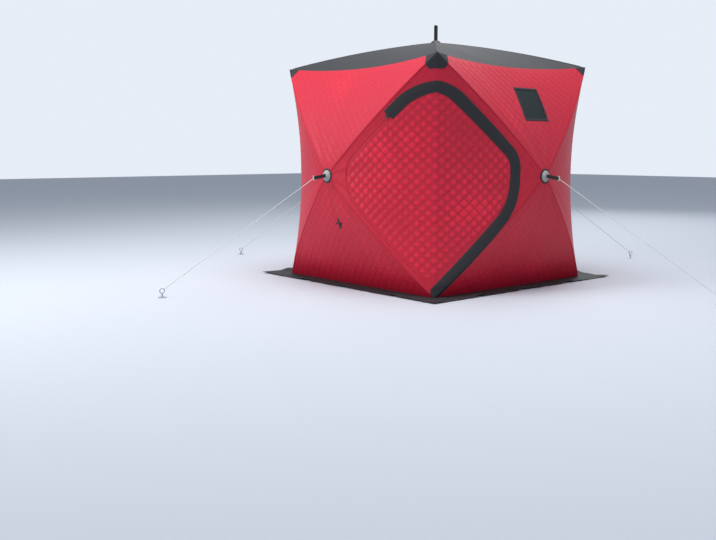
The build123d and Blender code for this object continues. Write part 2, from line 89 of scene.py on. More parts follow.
class HutSizes(bpy.types.PropertyGroup):
    """Sizes and colours that a user would change."""

    diamonds: bpy.props.IntProperty(
        name="Diamonds", description="Quilted diamonds along a pole", default=23, min=8
    )
    cells: bpy.props.IntProperty(
        name="Cells", description="Mesh cells along one diamond", default=5, min=2
    )
    puff: bpy.props.FloatProperty(
        name="Puff", description="Height of a quilted diamond on the door", default=0.0065, unit="LENGTH"
    )
    soft_puff: bpy.props.FloatProperty(
        name="Soft puff", description="Height of a diamond on the other panels", default=0.0028, unit="LENGTH"
    )
    slack: bpy.props.FloatProperty(
        name="Slack", description="Height of the long soft folds in the cloth", default=0.0035, unit="LENGTH"
    )
    zip_gap: bpy.props.FloatProperty(
        name="Zip gap", description="From the zip's line to the cloth", default=0.0025, unit="LENGTH"
    )
    flap_width: bpy.props.FloatProperty(
        name="Flap width", description="Width of the storm flap over the zip", default=0.080, unit="LENGTH"
    )
    seam_width: bpy.props.FloatProperty(
        name="Seam width", description="Width of the binding over each pole", default=0.022, unit="LENGTH"
    )
    patch_ring: bpy.props.FloatProperty(
        name="Patch ring", description="Width of the patch round a hub's cap", default=0.014, unit="LENGTH"
    )
    skirt_wave: bpy.props.FloatProperty(
        name="Skirt wave", description="Height of the waves in the snow skirt", default=0.014, unit="LENGTH"
    )
    stitch: bpy.props.FloatProperty(
        name="Stitch", description="Length of one stitch with its gap", default=0.006, unit="LENGTH"
    )
    red: bpy.props.FloatVectorProperty(
        name="Red", description="Colour of the quilted cloth", default=(0.58, 0.009, 0.035), subtype="COLOR"
    )
    black: bpy.props.FloatVectorProperty(
        name="Black", description="Colour of roof and trim", default=(0.020, 0.021, 0.024), subtype="COLOR"
    )


# The four panels of a side, counted by their turn about its hub
TO_RIGHT, TO_TOP, TO_LEFT, TO_FOOT = range(4)
WAYS = ((1, 0), (0, 1), (-1, 0), (0, -1))
TURN_NAMES = ("right", "top", "left", "bottom")
ROOF_TURN_NAMES = ("right", "back", "left", "front")
NUDGE = 1e-5
TINY = 1e-9

# The hole round a hub's neck, and the quilting: its shape, and where it starts beside the trim and how soon
NECK_RADIUS = CAP_RADIUS * 0.45
DIAMOND_ROUNDING = 0.75
SEAM_RATE = 1.6
HUB_FADE = (0.06, 0.05)
WINDOW_FADE = (0.002, 0.020)
OUTLINE_FADE = (0.004, 0.030)
FOLDS_FADE = (0.020, 0.050)
COVER_FADE = 0.018
FOLD_COVER = 0.006
BESIDE_DOOR = 0.4


# Cloth surface
def fade(distance, start, width):
    """0 up to a distance, then rising to 1 over a width."""
    return np.clip((distance - start) / width, 0, 1)


def waves(run, *parts):
    """A sum of sine waves, each given by its rate, its phase and its share of the height."""
    return sum(np.sin(run * rate + phase) * share for rate, phase, share in parts)


class Side:
    """A wall or the roof: from its middle, x to the right seen from outside, y up and z outwards."""

    def __init__(self, name, origin, x_way, z_way, push, bow, draws, cloth, foot):
        self.name = name
        self.origin = np.array(origin, float)
        self.z_way = np.array(z_way, float)
        self.ways = np.array([x_way, np.cross(z_way, x_way), z_way], float)
        self.push = push
        self.bow = bow
        self.draws = draws
        self.cloth = cloth
        self.foot = foot

    def world(self, x, y, z):
        """Points of the side in the scene."""
        return self.origin + np.stack(np.broadcast_arrays(x, y, z), -1) @ self.ways

    def panel_height(self, turn, u, v):
        """Height of one panel's outer face, u from the hub outwards and v across."""
        s = u / HALF
        draw = self.draws[turn]
        return self.push * (1 - s) + 4 * self.bow * s * (1 - s) - draw * s * s + draw * (v / HALF) ** 2

    def height(self, x, y):
        """Height of the cloth's outer face at a point of the side's plane."""
        x, y = np.asarray(x, float), np.asarray(y, float)
        sideways = self.panel_height(TO_RIGHT, np.abs(x), y)
        upper = self.panel_height(TO_TOP, np.abs(y), x)
        lower = self.panel_height(TO_FOOT, np.abs(y), x)
        return np.where(np.abs(x) >= np.abs(y), sideways, np.where(y > 0, upper, lower))

    def edge(self, turn, v, lift):
        """How far out a panel's outer edge lies, for a layer lifted off the cloth's face."""
        u = np.full_like(np.asarray(v, float), HALF)
        if turn == TO_FOOT and self.foot:
            return u
        for _ in range(8):
            rise = self.panel_height(turn, u + NUDGE, v) - self.panel_height(turn, u - NUDGE, v)
            u = u - (u - HALF - self.panel_height(turn, u, v) - lift) / (1 - rise / (2 * NUDGE))
        return u

    def corner(self, turn, lift):
        """Where that edge meets the pole seam."""
        u = HALF
        for _ in range(20):
            u = float(self.edge(turn, np.array([u]), lift)[0])
        return u


WALL_SHAPE = (WALL_PUSH, WALL_BOW, (EDGE_DRAW, TOP_DRAW, EDGE_DRAW, 0.0), WALL_CLOTH, True)
ROOF_SHAPE = (ROOF_PUSH, ROOF_BOW, (ROOF_DRAW,) * 4, ROOF_CLOTH, False)
FRONT = Side("front_wall", (0, -HALF, MID), (1, 0, 0), (0, -1, 0), *WALL_SHAPE)
RIGHT = Side("right_wall", (HALF, 0, MID), (0, 1, 0), (1, 0, 0), *WALL_SHAPE)
BACK = Side("back_wall", (0, HALF, MID), (-1, 0, 0), (0, 1, 0), *WALL_SHAPE)
LEFT = Side("left_wall", (-HALF, 0, MID), (0, -1, 0), (-1, 0, 0), *WALL_SHAPE)
ROOF = Side("roof", (0, 0, WALL_HEIGHT), (1, 0, 0), (0, 0, 1), *ROOF_SHAPE)
WALLS = (FRONT, RIGHT, BACK, LEFT)
WINDOW_WALLS = (RIGHT, LEFT)
UP = np.array([0.0, 0.0, 1.0])
CORNER_WAY = np.array([1.0, -1.0, 0.0])


def grid_spots(count):
    """Places of a triangular grid, counted along its two poles."""
    return [(i, j) for i in range(count + 1) for j in range(count + 1 - i)]


def panel_layer(side, turn, count, lift):
    """Plane coordinates of a triangular grid over one panel, and which points lie on its outer edge."""
    i, j = np.array(grid_spots(count), float).T
    p, q = i / count, j / count
    corner = side.corner(turn, lift)
    d = p - q
    v = d * corner
    seam = np.abs(v)
    rim = np.maximum(side.edge(turn, v, lift), seam)
    room = 1 - np.abs(d)
    share = np.where(room > TINY, (p + q - np.abs(d)) / np.maximum(room, TINY), 1.0)
    u = seam + (rim - seam) * share
    return p, q, u, v, (i + j) == count


def to_plane(turn, u, v):
    """Panel coordinates to the side's plane."""
    way = WAYS[turn]
    return u * way[0] - v * way[1], u * way[1] + v * way[0]


def triangle_faces(count):
    """Quads and edge triangles of the triangular grid."""
    number = {spot: n for n, spot in enumerate(grid_spots(count))}
    faces = []
    for i, j in grid_spots(count - 1):
        spots = [(i, j), (i + 1, j), (i + 1, j + 1), (i, j + 1)]
        faces.append(tuple(number[spot] for spot in spots if spot in number))
    return faces


def quilt(panel, diamonds):
    """Rise of a quilted diamond, 0 on its stitched lines and 1 in its middle."""
    a = np.abs(np.sin(math.pi * panel.p * diamonds))
    b = np.abs(np.sin(math.pi * panel.q * diamonds))
    return (a * b) ** DIAMOND_ROUNDING


def wrinkle(panel):
    """Slack of the stretched cloth: long soft folds that fan out from the hub, and broad low waves."""
    seed = sum(ord(letter) for letter in panel.side.name) * 0.37 + panel.turn * 1.9
    share = np.clip(panel.p + panel.q, 0, 1)
    across = np.where(share > TINY, (panel.p - panel.q) / np.maximum(share, TINY), 0)
    fan = waves(across, (9.0, seed, 0.55), (17.0, seed * 2.3, 0.3))
    low = np.sin(panel.u * 7.1 + seed) * np.sin(panel.v * 6.3 + seed * 1.7)
    off_edge = np.clip((1 - share) * 8, 0, 1) * np.clip((1 - np.abs(across)) * 4, 0, 1)
    return (fan * 0.6 * (1 - share * 0.6) + low * 0.7) * np.clip(share * 6, 0, 1) * off_edge


# Outline of the door, its flap and the windows
def rounded(points, radii, steps=14):
    """A polyline with some of its corners made round."""
    out = []
    for k, point in enumerate(points):
        radius = radii.get(k)
        if not radius:
            out.append(np.array(point, float))
            continue
        here = np.array(point, float)
        back = np.array(points[k - 1], float) - here
        on = np.array(points[(k + 1) % len(points)], float) - here
        back /= np.linalg.norm(back)
        on /= np.linalg.norm(on)
        half = math.acos(np.clip(back @ on, -1, 1)) / 2
        middle = (back + on) / np.linalg.norm(back + on)
        centre = here + middle * radius / math.sin(half)
        first = here + back * radius / math.tan(half) - centre
        last = here + on * radius / math.tan(half) - centre
        start = math.atan2(first[1], first[0])
        sweep = (math.atan2(last[1], last[0]) - start + math.pi) % (2 * math.pi) - math.pi
        for n in range(steps + 1):
            angle = start + sweep * n / steps
            out.append(centre + radius * np.array([math.cos(angle), math.sin(angle)]))
    return np.array(out)


def cross(first, second):
    """Where two lines y = slope * x + start cross."""
    x = (second[1] - first[1]) / (first[0] - second[0])
    return x, first[0] * x + first[1]


SILL = DOOR_SILL - MID
FOOT_MIDDLE = -0.45
PAST_EDGE = HALF + 0.3
CROWN_BAND = 0.1


class DoorLine:
    """The door's outline on one wall, drawn with its door corner at +x; lines are a slope and a start."""

    def __init__(self, crown, top_border, tip, middle_border, sill_border, radii):
        self.crown = crown
        self.top = (1, -top_border * math.sqrt(2))
        self.tip = tip
        self.radii = radii
        middle = (middle_border * math.sqrt(2) - FOOT_MIDDLE, FOOT_MIDDLE)
        sill = (sill_border * math.sqrt(2) - SILL, SILL)
        slope = (sill[1] - middle[1]) / (sill[0] - middle[0])
        self.foot = (slope, sill[1] - slope * sill[0])

    def foot_x(self, y):
        """Where the line beside the lower pole comes down to a level."""
        return (y - self.foot[1]) / self.foot[0]

    def corners(self, low):
        """The outline from the crown to the foot, and its radii."""
        points = [
            (PAST_EDGE, self.crown),
            (self.crown - self.top[1], self.crown),
            (self.tip, self.tip + self.top[1]),
            (self.tip, self.foot[0] * self.tip + self.foot[1]),
            (self.foot_x(low), low),
            (PAST_EDGE, low),
        ]
        return points, {1: self.radii[0], 2: self.radii[1], 3: self.radii[2]}

    def corner_level(self):
        """Height at which the outline's crown crosses the corner edge."""
        points = rounded(*self.corners(SILL), steps=60)
        points = points[points[:, 1] > self.crown - CROWN_BAND]
        past = points[:, 0] - FRONT.edge(TO_RIGHT, points[:, 1], 0)
        first = int(np.argmax(past < 0))
        share = past[first - 1] / (past[first - 1] - past[first])
        return float(points[first - 1, 1] + share * (points[first, 1] - points[first - 1, 1]))


FRONT_HEAD = {"crown": 0.668, "top_border": 0.065, "tip": 0.190, "radii": (0.440, 0.200, 0.350)}
RIGHT_HEAD = {"crown": 0.668, "top_border": 0.104, "tip": 0.283, "radii": (0.300, 0.200, 0.480)}
FRONT_LINE = DoorLine(middle_border=0.035, sill_border=0.035, **FRONT_HEAD)
RIGHT_LINE = DoorLine(middle_border=0.050, sill_border=0.035, **RIGHT_HEAD)
FLAP_LINE = DoorLine(middle_border=0.041, sill_border=0.0186, **RIGHT_HEAD)

# The crowns on the two walls meet at the corner edge
for _ in range(6):
    shift = FRONT_LINE.corner_level() - RIGHT_LINE.corner_level()
    RIGHT_LINE.crown += shift
    FLAP_LINE.crown += shift

# The fold runs down from a spot on the upper pole to the hut's corner
FOLD_SPOT = FOLD_START * HALF
FOLD_SLOPE = (-HALF - FOLD_SPOT) / (HALF - FOLD_SPOT)
FOLD = (FOLD_SLOPE, FOLD_SPOT * (1 - FOLD_SLOPE))
FOLD_TOP = cross(FRONT_LINE.top, FOLD)


def full_loop(mirror):
    """The door's whole outline as a closed loop, on the front wall (1) or the right wall (-1)."""
    line = FRONT_LINE if mirror == 1 else RIGHT_LINE
    return rounded(*line.corners(SILL)) * np.array([mirror, 1])


def fold_loop():
    """The outline on the front wall, where the fold takes the place of the tip."""
    points, radii = FRONT_LINE.corners(SILL)
    corners = [points[0], points[1], FOLD_TOP, ((SILL - FOLD[1]) / FOLD[0], SILL), points[-1]]
    return rounded(corners, {1: radii[1]})


def off_fold(x, y):
    """Distance to the fold's line on the front wall."""
    return np.abs(FOLD[0] * x - y + FOLD[1]) / math.hypot(1, FOLD[0])


def window_loop(inset):
    """The window's outline, drawn in by inset."""
    flat = 1 / math.hypot(1, (WALL_PUSH + TOP_DRAW) / HALF)
    half = WINDOW_SIZE / 2
    middle = np.array([WINDOW_SHIFT, WINDOW_CENTRE - MID])
    corners = np.array([(-1, -1), (1, -1), (1, 1), (-1, 1)])
    return corners * np.array([half - inset, half * flat - inset]) + middle


def signed_distance(loop, x, y):
    """Distance to a closed loop, negative inside, and the nearest point and part of the loop."""
    points = np.stack([x, y], -1)
    best = np.full(len(points), np.inf)
    near = np.zeros((len(points), 2))
    part = np.zeros(len(points), int)
    inside = np.zeros(len(points), bool)
    for k in range(len(loop)):
        a, b = loop[k], loop[(k + 1) % len(loop)]
        way = b - a
        t = np.clip(((points - a) @ way) / (way @ way), 0, 1)
        spot = a + t[:, None] * way
        d = np.linalg.norm(points - spot, axis=1)
        closer = d < best
        best = np.where(closer, d, best)
        near[closer] = spot[closer]
        part[closer] = k
        if a[1] != b[1]:
            straddle = (a[1] > points[:, 1]) != (b[1] > points[:, 1])
            inside ^= straddle & (points[:, 0] < a[0] + (points[:, 1] - a[1]) * way[0] / way[1])
    return np.where(inside, -best, best), near, part


# Mesh helpers
RIM_ANGLE = math.radians(50)


def scene_object(name, verts, faces):
    """A smooth mesh object at the origin."""
    mesh = bpy.data.meshes.new(name)
    mesh.from_pydata([tuple(v) for v in verts], [], [tuple(int(k) for k in f) for f in faces])
    mesh.validate()
    obj = bpy.data.objects.new(name, mesh)
    bpy.context.scene.collection.objects.link(obj)
    mesh.polygons.foreach_set("use_smooth", [True] * len(mesh.polygons))
    mesh.update()
    return obj


def open_edges(faces):
    """Directed edges that only one face has."""
    seen = {(face[k - 1], face[k]): True for face in faces for k in range(len(face))}
    return [edge for edge in seen if (edge[1], edge[0]) not in seen]


def used_points(faces):
    """The numbers of the points that the faces have."""
    return sorted({k for face in faces for k in face})


def trimmed(outer, inner, faces, outward):
    """Both layers without the points that no face has, and the faces numbered anew and turned outwards."""
    used = used_points(faces)
    place = {k: n for n, k in enumerate(used)}
    faces = [tuple(place[k] for k in face) for face in faces]
    outer, inner = outer[used], inner[used]
    a, b, c = outer[list(faces[len(faces) // 2][:3])]
    if np.cross(b - a, c - a) @ outward < 0:
        faces = [face[::-1] for face in faces]
    return outer, inner, faces


def closed_sheet(name, outer, inner, faces, outward):
    """A sheet of two layers, closed round its rim; the faces of its inner layer get slot 1."""
    outer, inner, faces = trimmed(outer, inner, faces, outward)
    count = len(outer)
    rim = [(b, a, a + count, b + count) for a, b in open_edges(faces)]
    lower = [tuple(k + count for k in face[::-1]) for face in faces]
    obj = scene_object(name, np.vstack([outer, inner]), faces + lower + rim)
    slots = np.zeros(len(obj.data.polygons), np.int32)
    slots[len(faces) : 2 * len(faces)] = 1
    obj.data.polygons.foreach_set("material_index", slots)
    obj.data.set_sharp_from_angle(angle=RIM_ANGLE)
    return obj


def write_uv(obj, pairs):
    """A UV map that both layers share, from one pair of coordinates for each point of a layer."""
    layer = obj.data.uv_layers.new(name="cloth")
    corners = np.zeros(len(obj.data.loops), np.int32)
    obj.data.loops.foreach_get("vertex_index", corners)
    layer.data.foreach_set("uv", np.vstack([pairs, pairs])[corners].astype(np.float32).ravel())


def write_quilting(obj, pairs, rise):
    """The cloth's map, and the rise of the quilting on its outer layer, for the materials; the red cloth
    paints its highlight and shade from the rise.
    """
    write_uv(obj, pairs)
    attribute = obj.data.attributes.new("rise", "FLOAT", "POINT")
    attribute.data.foreach_set("value", np.concatenate([rise, rise * 0]).astype(np.float32))


def area_of(points, faces):
    """Area of one layer."""
    triangles = np.array([(f[0], f[k], f[k + 1]) for f in faces for k in range(1, len(f) - 1)])
    a, b, c = (points[triangles[:, k]] for k in range(3))
    return float(np.linalg.norm(np.cross(b - a, c - a), axis=1).sum()) / 2


class Panel:
    """One panel's two layers on a triangular grid, with its quilting."""

    def __init__(self, side, turn, count):
        self.side = side
        self.turn = turn
        self.faces = triangle_faces(count)
        self.p, self.q, self.u, self.v, self.rim = panel_layer(side, turn, count, 0)
        _, _, self.ui, self.vi, _ = panel_layer(side, turn, count, -side.cloth)
        self.x, self.y = to_plane(turn, self.u, self.v)
        self.xi, self.yi = to_plane(turn, self.ui, self.vi)
        self.rise = np.zeros(len(self.p))

    def off_seams(self, diamonds):
        """Share of the quilting left near the poles and the hub, and the same near the outer edge too."""
        seam = np.minimum(self.p, self.q) * diamonds
        edge = (1 - self.p - self.q) * diamonds
        kept = np.clip(seam * SEAM_RATE, 0, 1) * fade(np.hypot(self.x, self.y), *HUB_FADE)
        return kept, kept * np.clip(edge * SEAM_RATE, 0, 1)

    def layers(self):
        """Points of the two layers; on the outer edge the quilting rises halfway between the two sides."""
        height = self.side.panel_height(self.turn, self.u, self.v) + self.rise
        shift = np.where(self.rim, self.rise / 2, 0)
        way = WAYS[self.turn]
        outer = self.side.world(self.x + way[0] * shift, self.y + way[1] * shift, height - shift)
        inner_height = self.side.panel_height(self.turn, self.ui, self.vi) - self.side.cloth
        inner = self.side.world(self.xi, self.yi, inner_height)
        return outer, inner

    def snap(self, places):
        """Moves grid points to given places in the side's plane, on both layers."""
        way = WAYS[self.turn]
        for k, (x, y) in places.items():
            u = x * way[0] + y * way[1]
            v = -x * way[1] + y * way[0]
            ui = u
            if self.rim[k]:
                u = float(self.side.edge(self.turn, np.array([v]), 0)[0])
                ui = float(self.side.edge(self.turn, np.array([v]), -self.side.cloth)[0])
            self.u[k], self.v[k], self.ui[k], self.vi[k] = u, v, ui, v
        self.x, self.y = to_plane(self.turn, self.u, self.v)
        self.xi, self.yi = to_plane(self.turn, self.ui, self.vi)


def split_panel(panel, loop, gap_at):
    """Faces inside and outside a loop; their shared edge is drawn onto it and moved out by gap_at(x, y)."""
    sd, near, part = signed_distance(loop, panel.x, panel.y)
    within = [f for f in panel.faces if sum(sd[k] for k in f) < 0]
    beyond = [f for f in panel.faces if sum(sd[k] for k in f) >= 0]
    around = area_sign(loop)
    places = {}
    for k in set(used_points(within)) & set(used_points(beyond)):
        way = loop[(part[k] + 1) % len(loop)] - loop[part[k]]
        outward = around * np.array([way[1], -way[0]]) / np.linalg.norm(way)
        places[k] = near[k] + outward * gap_at(*near[k])
    panel.snap(places)
    return within, beyond


def area_sign(loop):
    """1 where a loop runs against the clock, -1 where it runs with it."""
    x, y = loop.T
    return 1 if np.sum(x * np.roll(y, -1) - np.roll(x, -1) * y) > 0 else -1


def off_hub(panel, faces, radius):
    """The faces outside the hole in the middle of a side, which the hub's cap covers."""
    near = np.hypot(panel.x, panel.y) < radius
    return [f for f in faces if not any(near[k] for k in f)]


def panel_object(panel, name, faces):
    """The closed sheet of a panel's kept faces, with its coordinates for the materials."""
    obj = closed_sheet(name, *panel.layers(), faces, panel.side.z_way)
    used = used_points(faces)
    write_quilting(obj, np.stack([panel.p, panel.q], -1)[used], panel.rise[used])
    return obj


def door_loop(panel):
    """The door's outline on a panel's wall, or None."""
    if panel.side is FRONT and panel.turn == TO_RIGHT:
        return fold_loop()
    if panel.side is RIGHT and panel.turn == TO_LEFT:
        return full_loop(-1)
    return None


def quilt_panel(panel, sizes):
    """Sets the panel's quilting: strong inside the door's outline, soft elsewhere, none under the trim."""
    soft = quilt(panel, sizes.diamonds)
    folds = wrinkle(panel) * sizes.slack
    kept, kept_inside = panel.off_seams(sizes.diamonds)
    loop = door_loop(panel)
    if loop is None:
        panel.rise = soft * sizes.soft_puff * kept_inside + folds
        if panel.side in WINDOW_WALLS and panel.turn == TO_TOP:
            off_window = signed_distance(window_loop(0), panel.x, panel.y)[0]
            panel.rise = panel.rise * fade(off_window, *WINDOW_FADE)
        return
    inside = signed_distance(full_loop(1 if panel.side is FRONT else -1), panel.x, panel.y)[0]
    strong = sizes.puff * kept * fade(-inside, *OUTLINE_FADE)
    weak = sizes.soft_puff * BESIDE_DOOR * kept_inside * fade(inside, *OUTLINE_FADE)
    covered = sizes.flap_width / 2
    if panel.side is FRONT:
        past_fold = panel.y - FOLD[1] < FOLD[0] * panel.x
        covered = np.where(past_fold, FOLD_COVER, covered)
    edge = np.abs(signed_distance(loop, panel.x, panel.y)[0])
    free = fade(np.abs(inside), covered, COVER_FADE)
    panel.rise = soft * (strong + weak) * free + folds * fade(edge, *FOLDS_FADE)


def cloth_strip(name, layers, outward, runs, offsets, closed=False):
    """A closed strip from its top and bottom grids of points, one row across per step along it."""
    top, under = layers
    rows, columns = top.shape[:2]
    faces = []
    for i in range(rows if closed else rows - 1):
        for j in range(columns - 1):
            a, b = i * columns + j, ((i + 1) % rows) * columns + j
            faces.append((a, a + 1, b + 1, b))
    obj = closed_sheet(name, top.reshape(-1, 3), under.reshape(-1, 3), faces, outward)
    pairs = np.broadcast_arrays(np.asarray(runs)[:, None], np.asarray(offsets)[None, :])
    write_uv(obj, np.stack(pairs, -1).reshape(-1, 2))
    return obj


def cloth_layers(side, x, y, lifts, under=0.0002):
    """Points at given lifts off the cloth's face, and points just over it."""
    height = side.height(x, y)
    return side.world(x, y, height + lifts), side.world(x, y, height + under)


# How far along the door's line the corner edge and the sill are looked for, and where a ripple starts
CROWN_REACH = 0.6
FOOT_REACH = 1.0
RIPPLE_FADE = 0.1


class Route:
    """An evenly spaced line on a side's plane, with the direction that points away from the door."""

    def __init__(self, points, step=0.003):
        points = np.asarray(points, float)
        lengths = np.concatenate([[0], np.cumsum(np.linalg.norm(np.diff(points, axis=0), axis=1))])
        self.length = float(lengths[-1])
        self.s = np.linspace(0, self.length, max(int(self.length / step), 2) + 1)
        self.xy = np.stack([np.interp(self.s, lengths, points[:, k]) for k in (0, 1)], -1)
        way = np.gradient(self.xy, self.s, axis=0)
        way /= np.linalg.norm(way, axis=1)[:, None]
        self.out = np.stack([way[:, 1], -way[:, 0]], -1)

    def at(self, s, offset):
        """Plane points at distances along the line and offsets to its outer side."""
        x, y = (np.interp(s, self.s, self.xy[:, k]) for k in (0, 1))
        out_x, out_y = (np.interp(s, self.s, self.out[:, k]) for k in (0, 1))
        return x + offset * out_x, y + offset * out_y


def find_crossing(value, low, high):
    """Distances where value(s) passes from positive to negative, one for each column."""
    for _ in range(40):
        middle = (low + high) / 2
        beyond = value(middle) > 0
        low = np.where(beyond, middle, low)
        high = np.where(beyond, high, middle)
    return (low + high) / 2


def wrapped_grid(route, offsets, lifts, finish, step):
    """One wall's rows of a strip that starts on the corner edge, mirrored where its corner isn't at +x."""

    def past_edge(s):
        x, y = route.at(s, offsets)
        return x - FRONT.edge(TO_RIGHT, y, lifts)

    start = find_crossing(past_edge, 0.0, CROWN_REACH)
    end = finish(route, offsets)
    count = max(int(float(np.max(end - start)) / step), 2)
    share = np.linspace(0, 1, count + 1)[:, None]
    along = start + (end - start) * share
    x, y = route.at(along, offsets)
    x[0] = FRONT.edge(TO_RIGHT, y[0], lifts)
    return along, x, y


def end_at(distance):
    """Every column ends at one distance along the line."""
    return lambda route, offsets: distance


def end_at_level(level):
    """Every column ends where it comes down to one height of the plane."""

    def finish(route, offsets):
        def above(s):
            return route.at(s, offsets)[1] - level

        return find_crossing(above, route.length - FOOT_REACH, route.length)

    return finish


def wrapped_strip(name, section, thickness, front, right, ripple, step):
    """A strip of a given section along the door's outline, from the front wall round the corner and down."""
    offsets, lifts = section
    grids = []
    for layer in (0, thickness):
        lowered = lifts - layer
        points = []
        for side, mirror, (route, end) in ((FRONT, 1, front), (RIGHT, -1, right)):
            along, x, y = wrapped_grid(route, offsets, lowered, end, step)
            wave = ripple(along * mirror, offsets) * fade(along, along[0], RIPPLE_FADE)
            points.append((along, side.world(x * mirror, y, FRONT.height(x, y) + lowered + wave)))
        (front_along, front_points), (right_along, right_points) = points
        grids.append(np.concatenate([front_points[::-1], right_points[1:]]))
        runs = np.concatenate([-front_along[::-1].mean(axis=1), right_along[1:].mean(axis=1)])
    return cloth_strip(name, grids, CORNER_WAY, runs, offsets)


# Materials
CLOTH_GLOSS = 0.3
CLOTH_WEAVE = 0.3

# Stitches: their share of a stitch with its gap, their number along a diamond, and half their width,
# on quilting as a share of a diamond and on trim in metres
STITCH_SHARE = 0.68
STITCHES = 9
GROOVE = 0.016
THREAD = 0.0007

# How steeply the painted highlight on a diamond rises to its crown, and the zip's coil
CROWN_POWER = 3.0
COIL_PITCH = 0.0025
COIL_WIDTH = 0.0038


def material(name, build):
    """A node material made once, under a name that none of the frame's own materials has."""
    name = "hut_" + name
    found = bpy.data.materials.get(name)
    if found:
        return found
    made = bpy.data.materials.new(name)
    made.use_nodes = True
    build(made.node_tree, made.node_tree.nodes["Principled BSDF"])
    return made


def feed(tree, made, **values):
    """Sets a node's properties and its sockets' constants, and links the sockets that get another socket."""
    for key, value in values.items():
        if hasattr(made, key):
            setattr(made, key, value)
        elif isinstance(value, bpy.types.NodeSocket):
            tree.links.new(value, made.inputs[key.replace("_", " ")])
        else:
            made.inputs[key.replace("_", " ")].default_value = value


def node(tree, kind, **values):
    """Adds a node and feeds it."""
    made = tree.nodes.new(kind)
    feed(tree, made, **values)
    return made


def sums(tree, operation, first, second=None):
    """A math node on sockets or numbers; returns its result."""
    made = node(tree, "ShaderNodeMath", operation=operation)
    for slot, value in enumerate((first, second)):
        if isinstance(value, bpy.types.NodeSocket):
            tree.links.new(value, made.inputs[slot])
        elif value is not None:
            made.inputs[slot].default_value = value
    return made.outputs[0]


def off_value(tree, value, place):
    """How far a value lies from a given one."""
    return sums(tree, "ABSOLUTE", sums(tree, "SUBTRACT", value, place))


def mixed(tree, share, first, second):
    """One colour or the other, by share; returns the colour."""
    made = node(tree, "ShaderNodeMix", data_type="RGBA", Factor=share)
    for socket, value in ((made.inputs[6], first), (made.inputs[7], second)):
        if isinstance(value, bpy.types.NodeSocket):
            tree.links.new(value, socket)
        else:
            socket.default_value = (*value, 1)
    return made.outputs[2]


def weave(tree, shader, strength, height=None):
    """Bump of a fine plain weave, over another height where one is given."""
    place = node(tree, "ShaderNodeTexCoord").outputs["Object"]
    noise = node(tree, "ShaderNodeTexNoise", Scale=900.0, Detail=2.0, Vector=place)
    bump = node(tree, "ShaderNodeBump", Strength=strength, Distance=0.0004, Height=noise.outputs["Fac"])
    if height is not None:
        fine = bump.outputs["Normal"]
        bump = node(tree, "ShaderNodeBump", Strength=0.6, Distance=0.0006, Height=height, Normal=fine)
    feed(tree, shader, Normal=bump.outputs["Normal"])


def cloth_uv(tree):
    """The two coordinates of the cloth's own map."""
    uv = node(tree, "ShaderNodeUVMap", uv_map="cloth")
    apart = node(tree, "ShaderNodeSeparateXYZ", Vector=uv.outputs["UV"])
    return apart.outputs["X"], apart.outputs["Y"]


def dashes(tree, run, pitch):
    """1 on a stitch and 0 in the gap after it."""
    return sums(tree, "LESS_THAN", sums(tree, "FRACT", sums(tree, "DIVIDE", run, pitch)), STITCH_SHARE)


def shaded(colour, share):
    """A colour made darker."""
    return tuple(part * share for part in colour)


def red_cloth(sizes):
    """Quilted cloth with painted light: a painted highlight on the crowns of its diamonds and painted shade
    in its grooves, with stitches along the grooves.
    """

    def build(tree, shader):
        rise = node(tree, "ShaderNodeAttribute", attribute_name="rise").outputs["Fac"]
        # Painted highlight and painted shade: the red is scaled from 0.9 in the grooves up to 1.3 on the
        # diamonds' crowns
        crown = sums(tree, "POWER", sums(tree, "DIVIDE", rise, sizes.puff), CROWN_POWER)
        painted_light_share = node(tree, "ShaderNodeMapRange", To_Min=0.90, To_Max=1.30, Value=crown).outputs["Result"]
        lit = node(tree, "ShaderNodeVectorMath", operation="SCALE", Vector=tuple(sizes.red), Scale=painted_light_share)
        p, q = cloth_uv(tree)
        lines = []
        for across, run in ((p, q), (q, p)):
            counted = sums(tree, "ADD", sums(tree, "MULTIPLY", across, float(sizes.diamonds)), 0.5)
            near_line = sums(tree, "LESS_THAN", off_value(tree, sums(tree, "FRACT", counted), 0.5), GROOVE)
            stitches = dashes(tree, run, 1 / (sizes.diamonds * STITCHES))
            lines.append(sums(tree, "MULTIPLY", near_line, stitches))
        thread = sums(tree, "MAXIMUM", *lines)
        colour = mixed(tree, thread, lit.outputs["Vector"], shaded(sizes.red, 0.5))
        feed(tree, shader, Base_Color=colour, Roughness=0.48, Specular_IOR_Level=0.35)
        weave(tree, shader, 0.15, thread)

    return material("quilted_red", build)


def trim(name, colour, thread_colour, lines, pitch, roughness):
    """Cloth with rows of stitches at given distances across it."""

    def build(tree, shader):
        run, across = cloth_uv(tree)
        rows = [sums(tree, "LESS_THAN", off_value(tree, across, place), THREAD) for place in lines]
        thread = rows[0]
        for row in rows[1:]:
            thread = sums(tree, "MAXIMUM", thread, row)
        thread = sums(tree, "MULTIPLY", thread, dashes(tree, run, pitch))
        mix = mixed(tree, thread, colour, thread_colour)
        feed(tree, shader, Base_Color=mix, Roughness=roughness, Specular_IOR_Level=CLOTH_GLOSS)
        weave(tree, shader, CLOTH_WEAVE, thread)

    return material(name, build)


def red_trim(name, sizes, lines):
    """Red tape with dark red stitches."""
    thread = shaded(sizes.red, 0.3)
    return trim(name, shaded(sizes.red, 0.85), thread, lines, sizes.stitch, roughness=0.55)


def black_trim(name, sizes, lines):
    """Black tape or cloth with grey stitches."""
    return trim(name, tuple(sizes.black), (0.045, 0.045, 0.05), lines, sizes.stitch, roughness=0.7)


